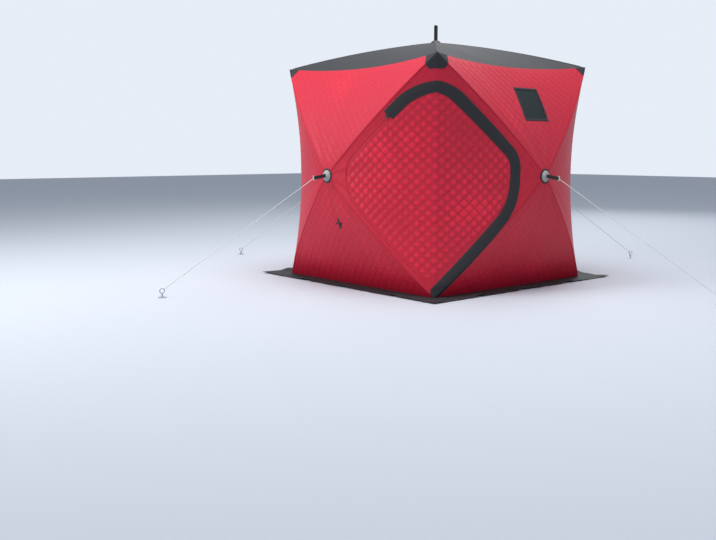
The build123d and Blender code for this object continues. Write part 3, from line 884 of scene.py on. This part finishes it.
def zip_tape(sizes):
    """Zip tape whose raised inner edge has the coil's turns."""

    def build(tree, shader):
        run, across = cloth_uv(tree)
        turns = sums(tree, "SINE", sums(tree, "MULTIPLY", run, 2 * math.pi / COIL_PITCH))
        coil = sums(tree, "LESS_THAN", sums(tree, "ABSOLUTE", across), COIL_WIDTH)
        feed(tree, shader, Base_Color=(*sizes.black, 1), Roughness=0.55)
        weave(tree, shader, CLOTH_WEAVE, sums(tree, "MULTIPLY", turns, coil))

    return material("zip_coil", build)


def plain(name, colour, roughness, cloth=0.0, **values):
    """A plain surface, with a weave where it is cloth."""

    def build(tree, shader):
        feed(tree, shader, Base_Color=(*colour, 1), Roughness=roughness, **values)
        if cloth:
            feed(tree, shader, Specular_IOR_Level=CLOTH_GLOSS)
            weave(tree, shader, cloth)

    return material(name, build)


def black_cloth(sizes):
    """The plain black cloth of the roof and trim."""
    return plain("black_cloth", tuple(sizes.black), roughness=0.72, cloth=CLOTH_WEAVE)


def lining(sizes):
    """The dark inner face of walls, roof and door."""
    return plain("dark_lining", shaded(sizes.black, 0.7), roughness=0.85, cloth=0.2)


def twisted(name, colour, pitch, stretch):
    """Rope or webbing: slanting strands by bump on Object coordinates."""

    def build(tree, shader):
        place = node(tree, "ShaderNodeTexCoord").outputs["Object"]
        stretched = node(tree, "ShaderNodeMapping", Scale=(stretch,) * 3, Vector=place).outputs["Vector"]
        strands = node(tree, "ShaderNodeTexWave", bands_direction="DIAGONAL", Scale=1 / pitch)
        feed(tree, strands, Vector=stretched)
        bump = node(tree, "ShaderNodeBump", Strength=0.5, Distance=0.0006, Height=strands.outputs["Fac"])
        feed(tree, shader, Base_Color=(*colour, 1), Roughness=0.75, Normal=bump.outputs["Normal"])

    return material(name, build)


def dress(obj, *materials):
    """Gives a piece its materials: the face and, for a sheet, the inner face."""
    slots = [face.material_index if len(materials) > 1 else 0 for face in obj.data.polygons]
    obj.data.materials.clear()
    for each in materials:
        obj.data.materials.append(each)
    obj.data.polygons.foreach_set("material_index", slots)


def sew_on(obj, face, inner_face, cad=None, bends=False):
    """Dresses a cloth piece, hides the frame's node it stands for, and ties it to the hut's body, or with
    bends set bakes its place into its mesh instead.
    """
    dress(obj, face, inner_face)
    if cad:
        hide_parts(cad)
    if bends:
        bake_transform(obj)
    else:
        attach(obj, "hut")


# A panel that fills less than this share of its box is a band, and how much wider than its mean it is cut
BAND_SHARE = 0.3
BAND_SPARE = 1.1


def declare_panel(panel, faces):
    """Works out how wide and long a panel is cut flat to its outline, taking one beside the door as a long
    band; the sizes are not used.
    """
    used = used_points(faces)
    width = float(np.ptp(panel.v[used]))
    slant = math.hypot(1, (panel.side.push + panel.side.draws[panel.turn]) / HALF)
    length = float(np.ptp(panel.u[used])) * slant
    area = area_of(panel.layers()[0], faces)
    if area < BAND_SHARE * width * length:
        length = 2 * math.sqrt(2) * HALF
        width = area / length * BAND_SPARE


# The fold on the front wall, and how near its line a point counts as on it
FOLD_FOOT = np.array([HALF, -HALF, 0.0])
FOLD_HEAD = FRONT.world(FOLD_SPOT, FOLD_SPOT, FRONT.height(FOLD_SPOT, FOLD_SPOT))
FOLD_WAY = (FOLD_FOOT - FOLD_HEAD) / np.linalg.norm(FOLD_FOOT - FOLD_HEAD)
FOLD_ACROSS = np.cross(np.array([0.0, -1.0, 0.0]), FOLD_WAY)
FOLD_ACROSS = FOLD_ACROSS / np.linalg.norm(FOLD_ACROSS) * math.copysign(1, FOLD_ACROSS[0])
ON_FOLD = 1e-4


# Pieces
class HutOperator(bpy.types.Operator):
    """Shared base of the hut's operators."""

    bl_options = {"REGISTER", "UNDO"}


def hut_gap(panel, sizes, x, y):
    """How far the hut's edge stays from the door's outline: nothing along the fold."""
    return 0.0 if panel.side is FRONT and off_fold(x, y) < ON_FOLD else sizes.zip_gap


class HUT_OT_walls(HutOperator):
    """Quilted panels of the four walls"""

    bl_idname = "hut.walls"
    bl_label = "Quilted walls"

    def execute(self, context):
        sizes = context.scene.hut_sizes
        for side in WALLS:
            for turn, turn_name in enumerate(TURN_NAMES):
                panel = Panel(side, turn, sizes.diamonds * sizes.cells)
                quilt_panel(panel, sizes)
                faces = panel.faces
                loop = door_loop(panel)
                if loop is not None:
                    faces = split_panel(panel, loop, lambda x, y: hut_gap(panel, sizes, x, y))[1]
                if side in WINDOW_WALLS and turn == TO_TOP:
                    faces = split_panel(panel, window_loop(BINDING_INSETS[-2]), lambda x, y: 0.0)[1]
                faces = off_hub(panel, faces, NECK_RADIUS)
                name = side.name + "_" + turn_name
                obj = panel_object(panel, name + "_quilt", faces)
                sew_on(obj, red_cloth(sizes), lining(sizes), name + "_panel")
                declare_panel(panel, faces)
        return {"FINISHED"}


class HUT_OT_roof(HutOperator):
    """Black panels of the roof"""

    bl_idname = "hut.roof"
    bl_label = "Roof"

    # Mesh cells along a pole, the folds' share of the walls' slack, and the hole at the peak
    cells = 48
    slack = 0.8
    peak = 0.001

    def execute(self, context):
        sizes = context.scene.hut_sizes
        for turn, turn_name in enumerate(ROOF_TURN_NAMES):
            panel = Panel(ROOF, turn, self.cells)
            panel.rise = wrinkle(panel) * sizes.slack * self.slack
            faces = off_hub(panel, panel.faces, self.peak)
            obj = panel_object(panel, "roof_" + turn_name + "_cloth", faces)
            sew_on(obj, black_cloth(sizes), lining(sizes), "roof_" + turn_name + "_panel")
            declare_panel(panel, faces)
        return {"FINISHED"}


class DoorHalf:
    """The door's part of one panel: points of both layers, faces, rim points by height, map and rise."""

    def __init__(self, side, turn, sizes):
        panel = Panel(side, turn, sizes.diamonds * sizes.cells)
        quilt_panel(panel, sizes)
        within = split_panel(panel, door_loop(panel), lambda x, y: -hut_gap(panel, sizes, x, y))[0]
        used = used_points(within)
        self.outer, self.inner, self.faces = trimmed(*panel.layers(), within, side.z_way)
        self.rim = {round(float(self.outer[n][2]), 5): n for n, k in enumerate(used) if panel.rim[k]}
        self.map = np.stack([panel.p, panel.q], -1)[used]
        self.rise = panel.rise[used]


class HUT_OT_door(HutOperator):
    """Quilted door that wraps the corner"""

    bl_idname = "hut.door"
    bl_label = "Door"

    # The door cut flat, and how far its halves may miss each other before they are joined
    flat = (1.30, 1.55)
    mismatch = 0.002

    def execute(self, context):
        sizes = context.scene.hut_sizes
        front = DoorHalf(FRONT, TO_RIGHT, sizes)
        right = DoorHalf(RIGHT, TO_LEFT, sizes)
        twins = {}
        for height, k in right.rim.items():
            twin = min(front.rim, key=lambda other: abs(other - height))
            if abs(twin - height) > self.mismatch:
                raise RuntimeError("the door's halves don't meet at the corner edge")
            twins[k] = front.rim[twin]
        number = [twins.get(k, len(front.outer) + k) for k in range(len(right.outer))]
        faces = front.faces + [tuple(number[k] for k in f) for f in right.faces]
        outer = np.vstack([front.outer, right.outer])
        inner = np.vstack([front.inner, right.inner])
        obj = closed_sheet("door_quilt", outer, inner, faces, CORNER_WAY)
        used = used_points(faces)
        rise = np.concatenate([front.rise, right.rise])[used]
        write_quilting(obj, np.vstack([front.map, right.map])[used], rise)
        sew_on(obj, red_cloth(sizes), lining(sizes), "door_panel", bends=True)
        return {"FINISHED"}


def zip_route(line, low):
    """The line beside the poles from the crown to the foot, for one wall."""
    points, radii = line.corners(low)
    return Route(rounded(points, radii)[:-1])


def fold_top_distance(route):
    """Distance along the line to the top of the fold."""
    return float(route.s[np.argmin(np.linalg.norm(route.xy - np.array(FOLD_TOP), axis=1))])


# The storm flap's section: shares of half its width, away from the door, and lifts off the wall
FLAP_SHARES = np.array([-1.0, -0.9, -0.6, -0.25, 0.0, 0.25, 0.6, 0.92, 1.0])
FLAP_LIFTS = np.array([2.9, 4.2, 6.6, 8.2, 8.6, 8.2, 7.0, 5.6, 4.8]) / 1000
FLAP_THICKNESS = 0.0026
FLAP_STEP = 0.012
FLAP_CLEAR = 0.0002
RIPPLE = 0.0016

# The flap's foot: its lift, its level over the ice, how soon it flattens below the sill, how far it
# wraps the corner, its rows, and its columns on each wall and how far apart these are cut
FOOT_LIFT = 0.0040
FOOT_END = 0.006
FOOT_FADE = 0.025
FOOT_WRAP = (0.001, 0.022)
FOOT_ROWS = 13
FOOT_COLUMNS = (9, 4)
FOOT_COLUMN = 0.01


def flap_ripple(along, offsets):
    """Gentle waves in the flap's free edge."""
    return waves(along, (21.0, 0.0, 0.5), (47.0, 1.0, 0.3)) * RIPPLE * fade(offsets, -0.02, 0.05)


def flap_foot_layer(half, depth):
    """Points of the flap's foot at one depth in it, across the right wall and round the corner edge."""
    rows = np.linspace(SILL - 2 * FLAP_CLEAR, FOOT_END - MID, FOOT_ROWS)
    below = np.clip((SILL - rows) / FOOT_FADE, 0, 1)[:, None]
    edge = FRONT.edge(TO_RIGHT, rows, FOOT_LIFT - depth)
    line = FLAP_LINE.foot_x(rows)
    slant = math.hypot(1, 1 / FLAP_LINE.foot[0])
    start = line - half * slant
    wrap = np.clip(line + half * slant - edge, *FOOT_WRAP)
    shares = [np.linspace(0, 1, count) for count in FOOT_COLUMNS]
    x_right = start[:, None] + (edge - start)[:, None] * shares[0]
    x_front = edge[:, None] - wrap[:, None] * shares[1][1:]
    flap_lift = np.interp((line[:, None] - x_right) / slant, FLAP_SHARES * half, FLAP_LIFTS)
    parts = []
    for side, mirror, x, lift in ((RIGHT, -1, x_right, flap_lift), (FRONT, 1, x_front, flap_lift[:, -1:])):
        y = rows[:, None] + 0 * x
        lifted = lift * (1 - below) + FOOT_LIFT * below - depth
        parts.append(side.world(x * mirror, y, FRONT.height(x, y) + lifted))
    return rows, np.concatenate(parts, axis=1)


class HUT_OT_flap(HutOperator):
    """Storm flap over the zip, and its fixed foot below the door"""

    bl_idname = "hut.flap"
    bl_label = "Storm flap"

    past_sill = 0.2
    row_inset = 0.004
    second_row = 0.010

    def execute(self, context):
        sizes = context.scene.hut_sizes
        half = sizes.flap_width / 2
        route = zip_route(FRONT_LINE, SILL)
        front = (route, end_at(fold_top_distance(route) - FLAP_START))
        right = (zip_route(FLAP_LINE, SILL - self.past_sill), end_at_level(SILL + FLAP_CLEAR))
        section = (FLAP_SHARES * half, FLAP_LIFTS)
        flap = wrapped_strip("storm_flap", section, FLAP_THICKNESS, front, right, flap_ripple, FLAP_STEP)
        rows = (self.row_inset - half, self.second_row - half, half - self.row_inset)
        cloth = black_trim("flap_cloth", sizes, rows)
        sew_on(flap, cloth, black_cloth(sizes), "door_storm_flap", bends=True)

        levels, outer = flap_foot_layer(half, 0)
        layers = (outer, flap_foot_layer(half, FLAP_THICKNESS)[1])
        spread = np.arange(outer.shape[1]) * FOOT_COLUMN
        foot = cloth_strip("storm_flap_foot", layers, CORNER_WAY, levels, spread)
        sew_on(foot, black_cloth(sizes), black_cloth(sizes))
        return {"FINISHED"}


def no_ripple(along, offsets):
    """The zip lies straight."""
    return 0 * along


class HUT_OT_zip(HutOperator):
    """The two sides of the zip"""

    bl_idname = "hut.zip"
    bl_label = "Zip"

    # A tape's section, from the coil outwards
    offsets = np.array([0.0004, 0.0014, 0.0030, 0.0040, 0.0160])
    lifts = np.array([1.6, 2.8, 2.8, 1.3, 1.0]) / 1000
    thickness = 0.0009
    width = 0.0165
    past_sill = 0.02
    above_sill = 0.006
    step = 0.03

    def execute(self, context):
        sizes = context.scene.hut_sizes
        route = zip_route(FRONT_LINE, SILL - self.past_sill)
        front = (route, end_at(fold_top_distance(route)))
        right = (zip_route(RIGHT_LINE, SILL - self.past_sill), end_at_level(SILL + self.above_sill))
        for name, way in (("zip_hut_side", 1), ("zip_door_side", -1)):
            section = (self.offsets[::way] * way, self.lifts[::way])
            obj = wrapped_strip(name, section, self.thickness, front, right, no_ripple, self.step)
            sew_on(obj, zip_tape(sizes), black_cloth(sizes), bends=way < 0)
        return {"FINISHED"}


BOX_ROUNDING = 0.3


def shaped_box(name, size, place):
    """A box with rounded edges, made at its size and turned and moved by a matrix."""
    bpy.ops.object.select_all(action="DESELECT")
    bpy.ops.mesh.primitive_cube_add(size=1)
    obj = bpy.context.object
    obj.name = name
    obj.scale = size
    bpy.ops.object.transform_apply(location=False, rotation=False, scale=True)
    bpy.ops.object.mode_set(mode="EDIT")
    bpy.ops.mesh.select_all(action="SELECT")
    bpy.ops.mesh.bevel(offset=min(size) * BOX_ROUNDING, segments=2, affect="EDGES")
    bpy.ops.object.mode_set(mode="OBJECT")
    obj.matrix_world = place
    bpy.ops.object.transform_apply(location=True, rotation=True, scale=True)
    return obj


class HUT_OT_slider(HutOperator):
    """Slider of the door's zip, with its pull hanging from it"""

    bl_idname = "hut.slider"
    bl_label = "Zip slider"

    from_fold = 0.012
    nearby = 0.01
    # Each box's name, size, lift off the wall and shift along the zip
    boxes = (
        ("zip_slider", (0.013, 0.010, 0.0042), 0.0052, 0.0),
        ("bridge", (0.008, 0.003, 0.0030), 0.0084, 0.0),
        ("pull", (0.026, 0.0065, 0.0014), 0.0092, 0.016),
    )

    def execute(self, context):
        route = zip_route(FRONT_LINE, SILL)
        place = fold_top_distance(route) - self.from_fold
        spots = []
        for distance, offset in ((place, 0), (place - self.nearby, 0), (place, self.nearby)):
            x, y = route.at(distance, offset)
            spots.append(Vector(FRONT.world(x, y, FRONT.height(x, y))))
        centre, before, beside = spots
        along = (centre - before).normalized()
        out = along.cross((beside - centre).normalized()).normalized()
        if out.y > 0:
            out = -out
        turn = Matrix((along, out.cross(along), out)).transposed().to_4x4()
        parts = []
        for name, size, lift, shift in self.boxes:
            spot = centre + out * lift + along * shift
            parts.append(shaped_box(name, size, Matrix.Translation(spot) @ turn))
        bpy.ops.object.select_all(action="DESELECT")
        for obj in parts:
            obj.select_set(True)
        context.view_layer.objects.active = parts[0]
        bpy.ops.object.join()
        bpy.ops.object.shade_smooth_by_angle(angle=math.radians(40))
        slider = context.object
        dress(slider, plain("slider_metal", (0.10, 0.10, 0.11), roughness=0.35, Metallic=0.8))
        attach(slider, "hut")
        return {"FINISHED"}


# The pole binding's steps along and across, and how high its edges and its middle lie
BINDING_STEP = 0.025
BINDING_COLUMNS = 7
BINDING_EDGE = 0.0008
BINDING_DOME = 0.0016


def pole_strip(name, side, right, up, start, end, half):
    """Binding sewn over one pole: start and end count along x."""
    c = np.linspace(start, end, int((end - start) / BINDING_STEP) + 2)[:, None]
    w = np.linspace(-1, 1, BINDING_COLUMNS)[None, :] * half
    x = c * right - w * up / math.sqrt(2)
    y = c * up + w * right / math.sqrt(2)
    dome = BINDING_EDGE + BINDING_DOME * np.sqrt(np.clip(1 - (w / half) ** 2, 0, 1)) + 0 * c
    layers = cloth_layers(side, x, y, dome)
    return cloth_strip(name, layers, side.z_way, c[:, 0] * math.sqrt(2), w[0])


class HUT_OT_seams(HutOperator):
    """Bindings over the poles, and the sewn outline beside the door"""

    bl_idname = "hut.seams"
    bl_label = "Seams"

    corners = ((1, 1, "upper_right"), (1, -1, "lower_right"), (-1, 1, "upper_left"), (-1, -1, "lower_left"))
    # Where the bindings start and end, how much longer they are cut, and their stitches
    off_ring = 0.001
    short_of_corner = 0.030
    short_of_patch = 0.075
    spare = 1.05
    row_inset = 0.003
    # The sewn outline's section, its steps and how far it stays from the fold and the sill
    outline_offsets = np.array([-0.005, -0.0035, 0.0, 0.0035, 0.005])
    outline_lifts = np.array([0.5, 1.3, 1.6, 1.3, 0.5]) / 1000
    outline_width = 0.010
    outline_step = 0.012
    outline_ends = 0.02

    def execute(self, context):
        sizes = context.scene.hut_sizes
        half = sizes.seam_width / 2
        rows = (half - self.row_inset, self.row_inset - half)
        start = (CAP_RADIUS + sizes.patch_ring + self.off_ring) / math.sqrt(2)
        for side in (*WALLS, ROOF):
            for right, up, corner in self.corners:
                patched = side is not ROOF and up == 1
                end = HALF - (self.short_of_patch if patched else self.short_of_corner)
                obj = pole_strip(side.name + "_seam_" + corner, side, right, up, start, end, half)
                if side is ROOF:
                    sew_on(obj, black_trim("roof_seam", sizes, rows), black_cloth(sizes))
                else:
                    sew_on(obj, red_trim("wall_seam", sizes, rows), red_cloth(sizes))
        route = zip_route(FRONT_LINE, SILL)
        along = np.arange(fold_top_distance(route) + self.outline_ends, route.length, self.outline_step)
        along = along[route.at(along, 0)[1] > SILL + self.outline_ends]
        x, y = route.at(along[:, None] + 0 * self.outline_offsets, self.outline_offsets)
        layers = cloth_layers(FRONT, x, y, self.outline_lifts, under=0.0001)
        obj = cloth_strip("sewn_outline", layers, FRONT.z_way, along, self.outline_offsets)
        sew_on(obj, red_trim("sewn_outline", sizes, (0.0,)), red_cloth(sizes))
        return {"FINISHED"}


# The window binding's section: distances in from its outer edge, and lifts off the wall
BINDING_INSETS = np.array([0.0, 0.0015, 0.006, 0.012, WINDOW_BORDER - 0.0015, WINDOW_BORDER])
BINDING_LIFTS = np.array([0.8, 2.2, 3.0, 3.0, 2.2, 0.8]) / 1000


class HUT_OT_windows(HutOperator):
    """Stitched binding round the windows"""

    bl_idname = "hut.windows"
    bl_label = "Windows"

    steps = 12
    rows = (0.004, 0.014)

    def execute(self, context):
        sizes = context.scene.hut_sizes
        share = (np.arange(self.steps) / self.steps)[None, :, None]
        for side in WINDOW_WALLS:
            columns = []
            for inset in BINDING_INSETS:
                corners = window_loop(inset)
                following = np.roll(corners, -1, axis=0)
                line = corners[:, None, :] + (following - corners)[:, None, :] * share
                columns.append(line.reshape(-1, 2))
            points = np.stack(columns, axis=1)
            layers = cloth_layers(side, points[..., 0], points[..., 1], BINDING_LIFTS, under=0.0003)
            runs = np.arange(len(points)) * (4 * WINDOW_SIZE / len(points))
            name = side.name + "_window_binding"
            obj = cloth_strip(name, layers, side.z_way, runs, BINDING_INSETS, closed=True)
            tape = black_trim("window_binding", sizes, self.rows)
            sew_on(obj, tape, black_cloth(sizes), "window_frames")
        return {"FINISHED"}


class HUT_OT_patches(HutOperator):
    """Round patches under the hubs' caps"""

    bl_idname = "hut.patches"
    bl_label = "Hub patches"

    lifts = np.array([1.2, 1.5, 1.5, 1.5, 0.9]) / 1000
    clear = 0.0006
    steps = 64
    row_inset = 0.003

    def execute(self, context):
        sizes = context.scene.hut_sizes
        radii = CAP_RADIUS + self.clear + np.linspace(0, 1, len(self.lifts)) * sizes.patch_ring
        angles = np.linspace(0, 2 * math.pi, self.steps, endpoint=False)
        x = np.cos(angles)[:, None] * radii
        y = np.sin(angles)[:, None] * radii
        for side in (*WALLS, ROOF):
            layers = cloth_layers(side, x, y, self.lifts)
            name = side.name + "_hub_patch"
            obj = cloth_strip(name, layers, side.z_way, angles * radii[-1], radii - radii[0], closed=True)
            ring = black_trim("hub_patch", sizes, (sizes.patch_ring - self.row_inset,))
            sew_on(obj, ring, black_cloth(sizes))
        return {"FINISHED"}


# The corner patches: how far they reach along the top edge and along their foot, how far they hang,
# and the points across one half and down
PATCH_REACH = 0.118
PATCH_FOOT = 0.045
PATCH_DROP = 0.112
PATCH_POINTS = 11


def corner_patch_layer(right, left, lift):
    """Points of a patch over a corner's top, from one wall's right edge round to the next one's left."""
    across = np.linspace(0, 1, PATCH_POINTS)[None, :]
    down = across.T
    x_top = HALF - PATCH_REACH * across
    y_top = FRONT.edge(TO_TOP, x_top, lift)
    y_foot = HALF - PATCH_DROP
    x_foot = FRONT.edge(TO_RIGHT, y_foot, lift) - PATCH_FOOT * across
    x = x_top + (x_foot - x_top) * down
    y = y_top + (y_foot - y_top) * down
    x[:, 0] = FRONT.edge(TO_RIGHT, y[:, 0], lift)
    height = FRONT.height(x, y) + lift
    on_right_edge = right.world(x, y, height)
    on_left_edge = left.world(-x, y, height)
    return np.concatenate([on_right_edge[:, ::-1], on_left_edge[:, 1:]], axis=1)


class HUT_OT_corners(HutOperator):
    """Stitched patches over the tops of the four corners"""

    bl_idname = "hut.corners"
    bl_label = "Corner patches"

    lifts = (0.0036, 0.0014)
    row_inset = 0.005

    def execute(self, context):
        sizes = context.scene.hut_sizes
        half = (PATCH_REACH + PATCH_FOOT) / 2
        offsets = np.linspace(-1, 1, 2 * PATCH_POINTS - 1) * half
        runs = np.linspace(0, PATCH_DROP, PATCH_POINTS)
        rows = (half - self.row_inset, self.row_inset - half)
        for side, following in zip(WALLS, (*WALLS[1:], WALLS[0])):
            layers = [corner_patch_layer(side, following, lift) for lift in self.lifts]
            way = side.z_way + following.z_way
            obj = cloth_strip(side.name + "_corner_patch", layers, way, runs, offsets)
            patch = black_trim("corner_patch", sizes, rows)
            sew_on(obj, patch, black_cloth(sizes), "top_corner_patches")
        return {"FINISHED"}


# How far from its corners the skirt waves, how high it lies, how much of it lies up between its waves,
# and the lift of its tips as a share of the waves
SKIRT_CALM = 0.14
SKIRT_LIFT = 0.0022
SKIRT_LEVEL = 0.45
SKIRT_TIP = 0.7


def skirt_height(run, out, number, sizes):
    """Height of the skirt: run along the wall, out from 0 at its foot to 1 at its free edge."""
    wave = waves(run, (11.0, number * 1.7, 0.5), (23.0, number * 2.9, 0.32), (41.0, 0.0, 0.18))
    share = np.clip((HALF + SKIRT_WIDTH * out - np.abs(run)) / SKIRT_CALM, 0, 1)
    share = share * share * (3 - 2 * share)
    wavy = sizes.skirt_wave * out * np.clip(SKIRT_LEVEL + wave, 0, 2)
    tip = sizes.skirt_wave * SKIRT_TIP * out**2
    return SKIRT_LIFT + share * wavy + (1 - share) * tip


class HUT_OT_skirt(HutOperator):
    """Wavy snow skirt on the ground, in four mitred strips"""

    bl_idname = "hut.skirt"
    bl_label = "Snow skirt"

    off_wall = 0.0015
    mitre = 0.0004
    thickness = 0.002
    row_inset = 0.006
    # Points of a strip from the wall to its free edge, and along it
    columns = 11
    steps = 141

    def execute(self, context):
        sizes = context.scene.hut_sizes
        out = np.linspace(0, 1, self.columns)[None, :]
        share = np.linspace(-1, 1, self.steps)[:, None]
        distance = HALF + self.off_wall + (SKIRT_WIDTH - self.off_wall) * out
        run = share * (distance - self.mitre)
        rows = (SKIRT_WIDTH - self.row_inset, self.row_inset)
        for number, side in enumerate(WALLS):
            top = skirt_height(run, out, number, sizes)
            layers = [side.world(run, top - depth - MID, distance - HALF) for depth in (0, self.thickness)]
            middle = run[:, self.columns // 2]
            obj = cloth_strip(side.name + "_skirt", layers, UP, middle, out[0] * SKIRT_WIDTH)
            cloth = black_trim("skirt_cloth", sizes, rows)
            sew_on(obj, cloth, black_cloth(sizes), "snow_skirt")
        return {"FINISHED"}


class HUT_OT_fittings(HutOperator):
    """Surfaces of the frame's own poles, hubs, caps, sockets, straps, ropes, anchors and window film"""

    bl_idname = "hut.fittings"
    bl_label = "Fittings"

    def execute(self, context):
        moulded = plain("moulded_black", (0.016, 0.017, 0.019), roughness=0.42)
        webbing = twisted("black_webbing", (0.014, 0.014, 0.016), pitch=0.9, stretch=160.0)
        surfaces = {
            "_hub": moulded,
            "_sockets": moulded,
            # Cap plastic: grey plastic, made paler so that it also carries a painted highlight of the sky
            "_hub_caps": plain("cap_plastic", (0.34, 0.33, 0.33), roughness=0.40),
            "_hub_cap": moulded,
            "_poles": plain("pole_glass_fibre", (0.08, 0.08, 0.09), roughness=0.35),
            "_pull_straps": webbing,
            "_pull_strap": webbing,
            "_tie_back": webbing,
            "guy_ropes": twisted("pale_rope", (0.62, 0.63, 0.62), pitch=1.1, stretch=150.0),
            "ice_anchors": plain("zinc", (0.45, 0.46, 0.48), roughness=0.38, Metallic=0.9),
            # Window film, painted dark: its colour is painted shade, standing for the shaded inside of the
            # hut seen through the clear film
            "window_panes": plain("window_film", (0.008, 0.015, 0.015), roughness=0.30, IOR=1.25),
        }
        for ending, surface in surfaces.items():
            found = [obj for obj in bpy.data.objects if obj.type == "MESH" and obj.name.endswith(ending)]
            if not found:
                raise RuntimeError("no node ends with " + ending)
            for obj in found:
                dress(obj, surface)
        return {"FINISHED"}


def backdrop(tree):
    """A pale background for the camera, glass and metal, over the world's soft light."""
    soft = tree.nodes["Background"]
    feed(tree, soft, Color=(0.74, 0.82, 0.94, 1), Strength=0.52)
    pale = node(tree, "ShaderNodeBackground", Color=(0.80, 0.85, 0.93, 1), Strength=1.0)
    rays = node(tree, "ShaderNodeLightPath").outputs
    seen = sums(tree, "MAXIMUM", rays["Is Camera Ray"], rays["Is Glossy Ray"])
    seen = sums(tree, "MAXIMUM", seen, rays["Is Transmission Ray"])
    either = node(tree, "ShaderNodeMixShader", Fac=seen)
    tree.links.new(soft.outputs["Background"], either.inputs[1])
    tree.links.new(pale.outputs["Background"], either.inputs[2])
    feed(tree, tree.nodes["World Output"], Surface=either.outputs["Shader"])


class HUT_OT_stage(HutOperator):
    """Pale floor, soft studio light and the camera"""

    bl_idname = "hut.stage"
    bl_label = "Studio"

    # Each lamp's name, place, size and power
    lamps = (
        ("top_light", (0.6, -0.9, 7.0), 5.0, 430),
        ("key_light", (-2.5, -6.5, 4.5), 3.5, 290),
        ("fill_light", (7.5, -1.0, 4.5), 4.0, 60),
        ("back_light", (-3.0, 7.0, 5.0), 5.0, 190),
    )
    lit_point = Vector((0, 0, 0.8))
    floor_width = 60
    under_hut = 0.0005
    camera_place = (5.448, -5.526, 1.092)
    camera_turn = (math.radians(82.26), 0, math.radians(49.55))
    camera_lens = 43.94

    def execute(self, context):
        bpy.ops.object.select_all(action="DESELECT")
        bpy.ops.mesh.primitive_plane_add(size=self.floor_width, location=(0, 0, -self.under_hut))
        floor = context.object
        floor.name = "floor"
        dress(floor, plain("floor_pale", (0.52, 0.55, 0.60), roughness=0.9))
        world = context.scene.world or bpy.data.worlds.new("World")
        context.scene.world = world
        world.use_nodes = True
        backdrop(world.node_tree)
        for name, spot, size, power in self.lamps:
            bpy.ops.object.light_add(type="AREA", location=spot)
            light = context.object
            light.name = name
            light.data.shape = "SQUARE"
            light.data.size = size
            light.data.energy = power
            light.rotation_euler = (self.lit_point - Vector(spot)).to_track_quat("-Z", "Y").to_euler()
        bpy.ops.object.camera_add(location=self.camera_place, rotation=self.camera_turn)
        camera = context.object
        camera.name = "camera"
        camera.data.lens = self.camera_lens
        camera.data.sensor_width = 36
        context.scene.camera = camera
        context.scene.view_settings.view_transform = "Standard"
        return {"FINISHED"}


class HUT_PT_panel(bpy.types.Panel):
    """Lists the hut's sizes and operators"""

    bl_idname = "HUT_PT_panel"
    bl_label = "Ice Hut"
    bl_space_type = "VIEW_3D"
    bl_region_type = "UI"
    bl_category = "Ice Hut"

    def draw(self, context):
        sizes = context.scene.hut_sizes
        for key in sizes.__annotations__:
            self.layout.prop(sizes, key)
        for operator in OPERATORS:
            self.layout.operator(operator.bl_idname)


OPERATORS = (
    HUT_OT_walls,
    HUT_OT_roof,
    HUT_OT_door,
    HUT_OT_flap,
    HUT_OT_zip,
    HUT_OT_slider,
    HUT_OT_seams,
    HUT_OT_windows,
    HUT_OT_patches,
    HUT_OT_corners,
    HUT_OT_skirt,
    HUT_OT_fittings,
    HUT_OT_stage,
)
CLASSES = (HutSizes, *OPERATORS, HUT_PT_panel)


def register():
    """Adds the hut's sizes, operators and panel to Blender."""
    for cls in CLASSES:
        bpy.utils.register_class(cls)
    bpy.types.Scene.hut_sizes = bpy.props.PointerProperty(type=HutSizes)


def unregister():
    """Takes them out again."""
    del bpy.types.Scene.hut_sizes
    for cls in reversed(CLASSES):
        bpy.utils.unregister_class(cls)


def main():
    """Builds the hut."""
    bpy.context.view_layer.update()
    register()
    bpy.ops.hut.walls()
    bpy.ops.hut.roof()
    bpy.ops.hut.door()
    bpy.ops.hut.flap()
    bpy.ops.hut.zip()
    bpy.ops.hut.slider()
    bpy.ops.hut.seams()
    bpy.ops.hut.windows()
    bpy.ops.hut.patches()
    bpy.ops.hut.corners()
    bpy.ops.hut.skirt()
    bpy.ops.hut.fittings()
    bpy.ops.hut.stage()


if __name__ == "__main__":
    main()
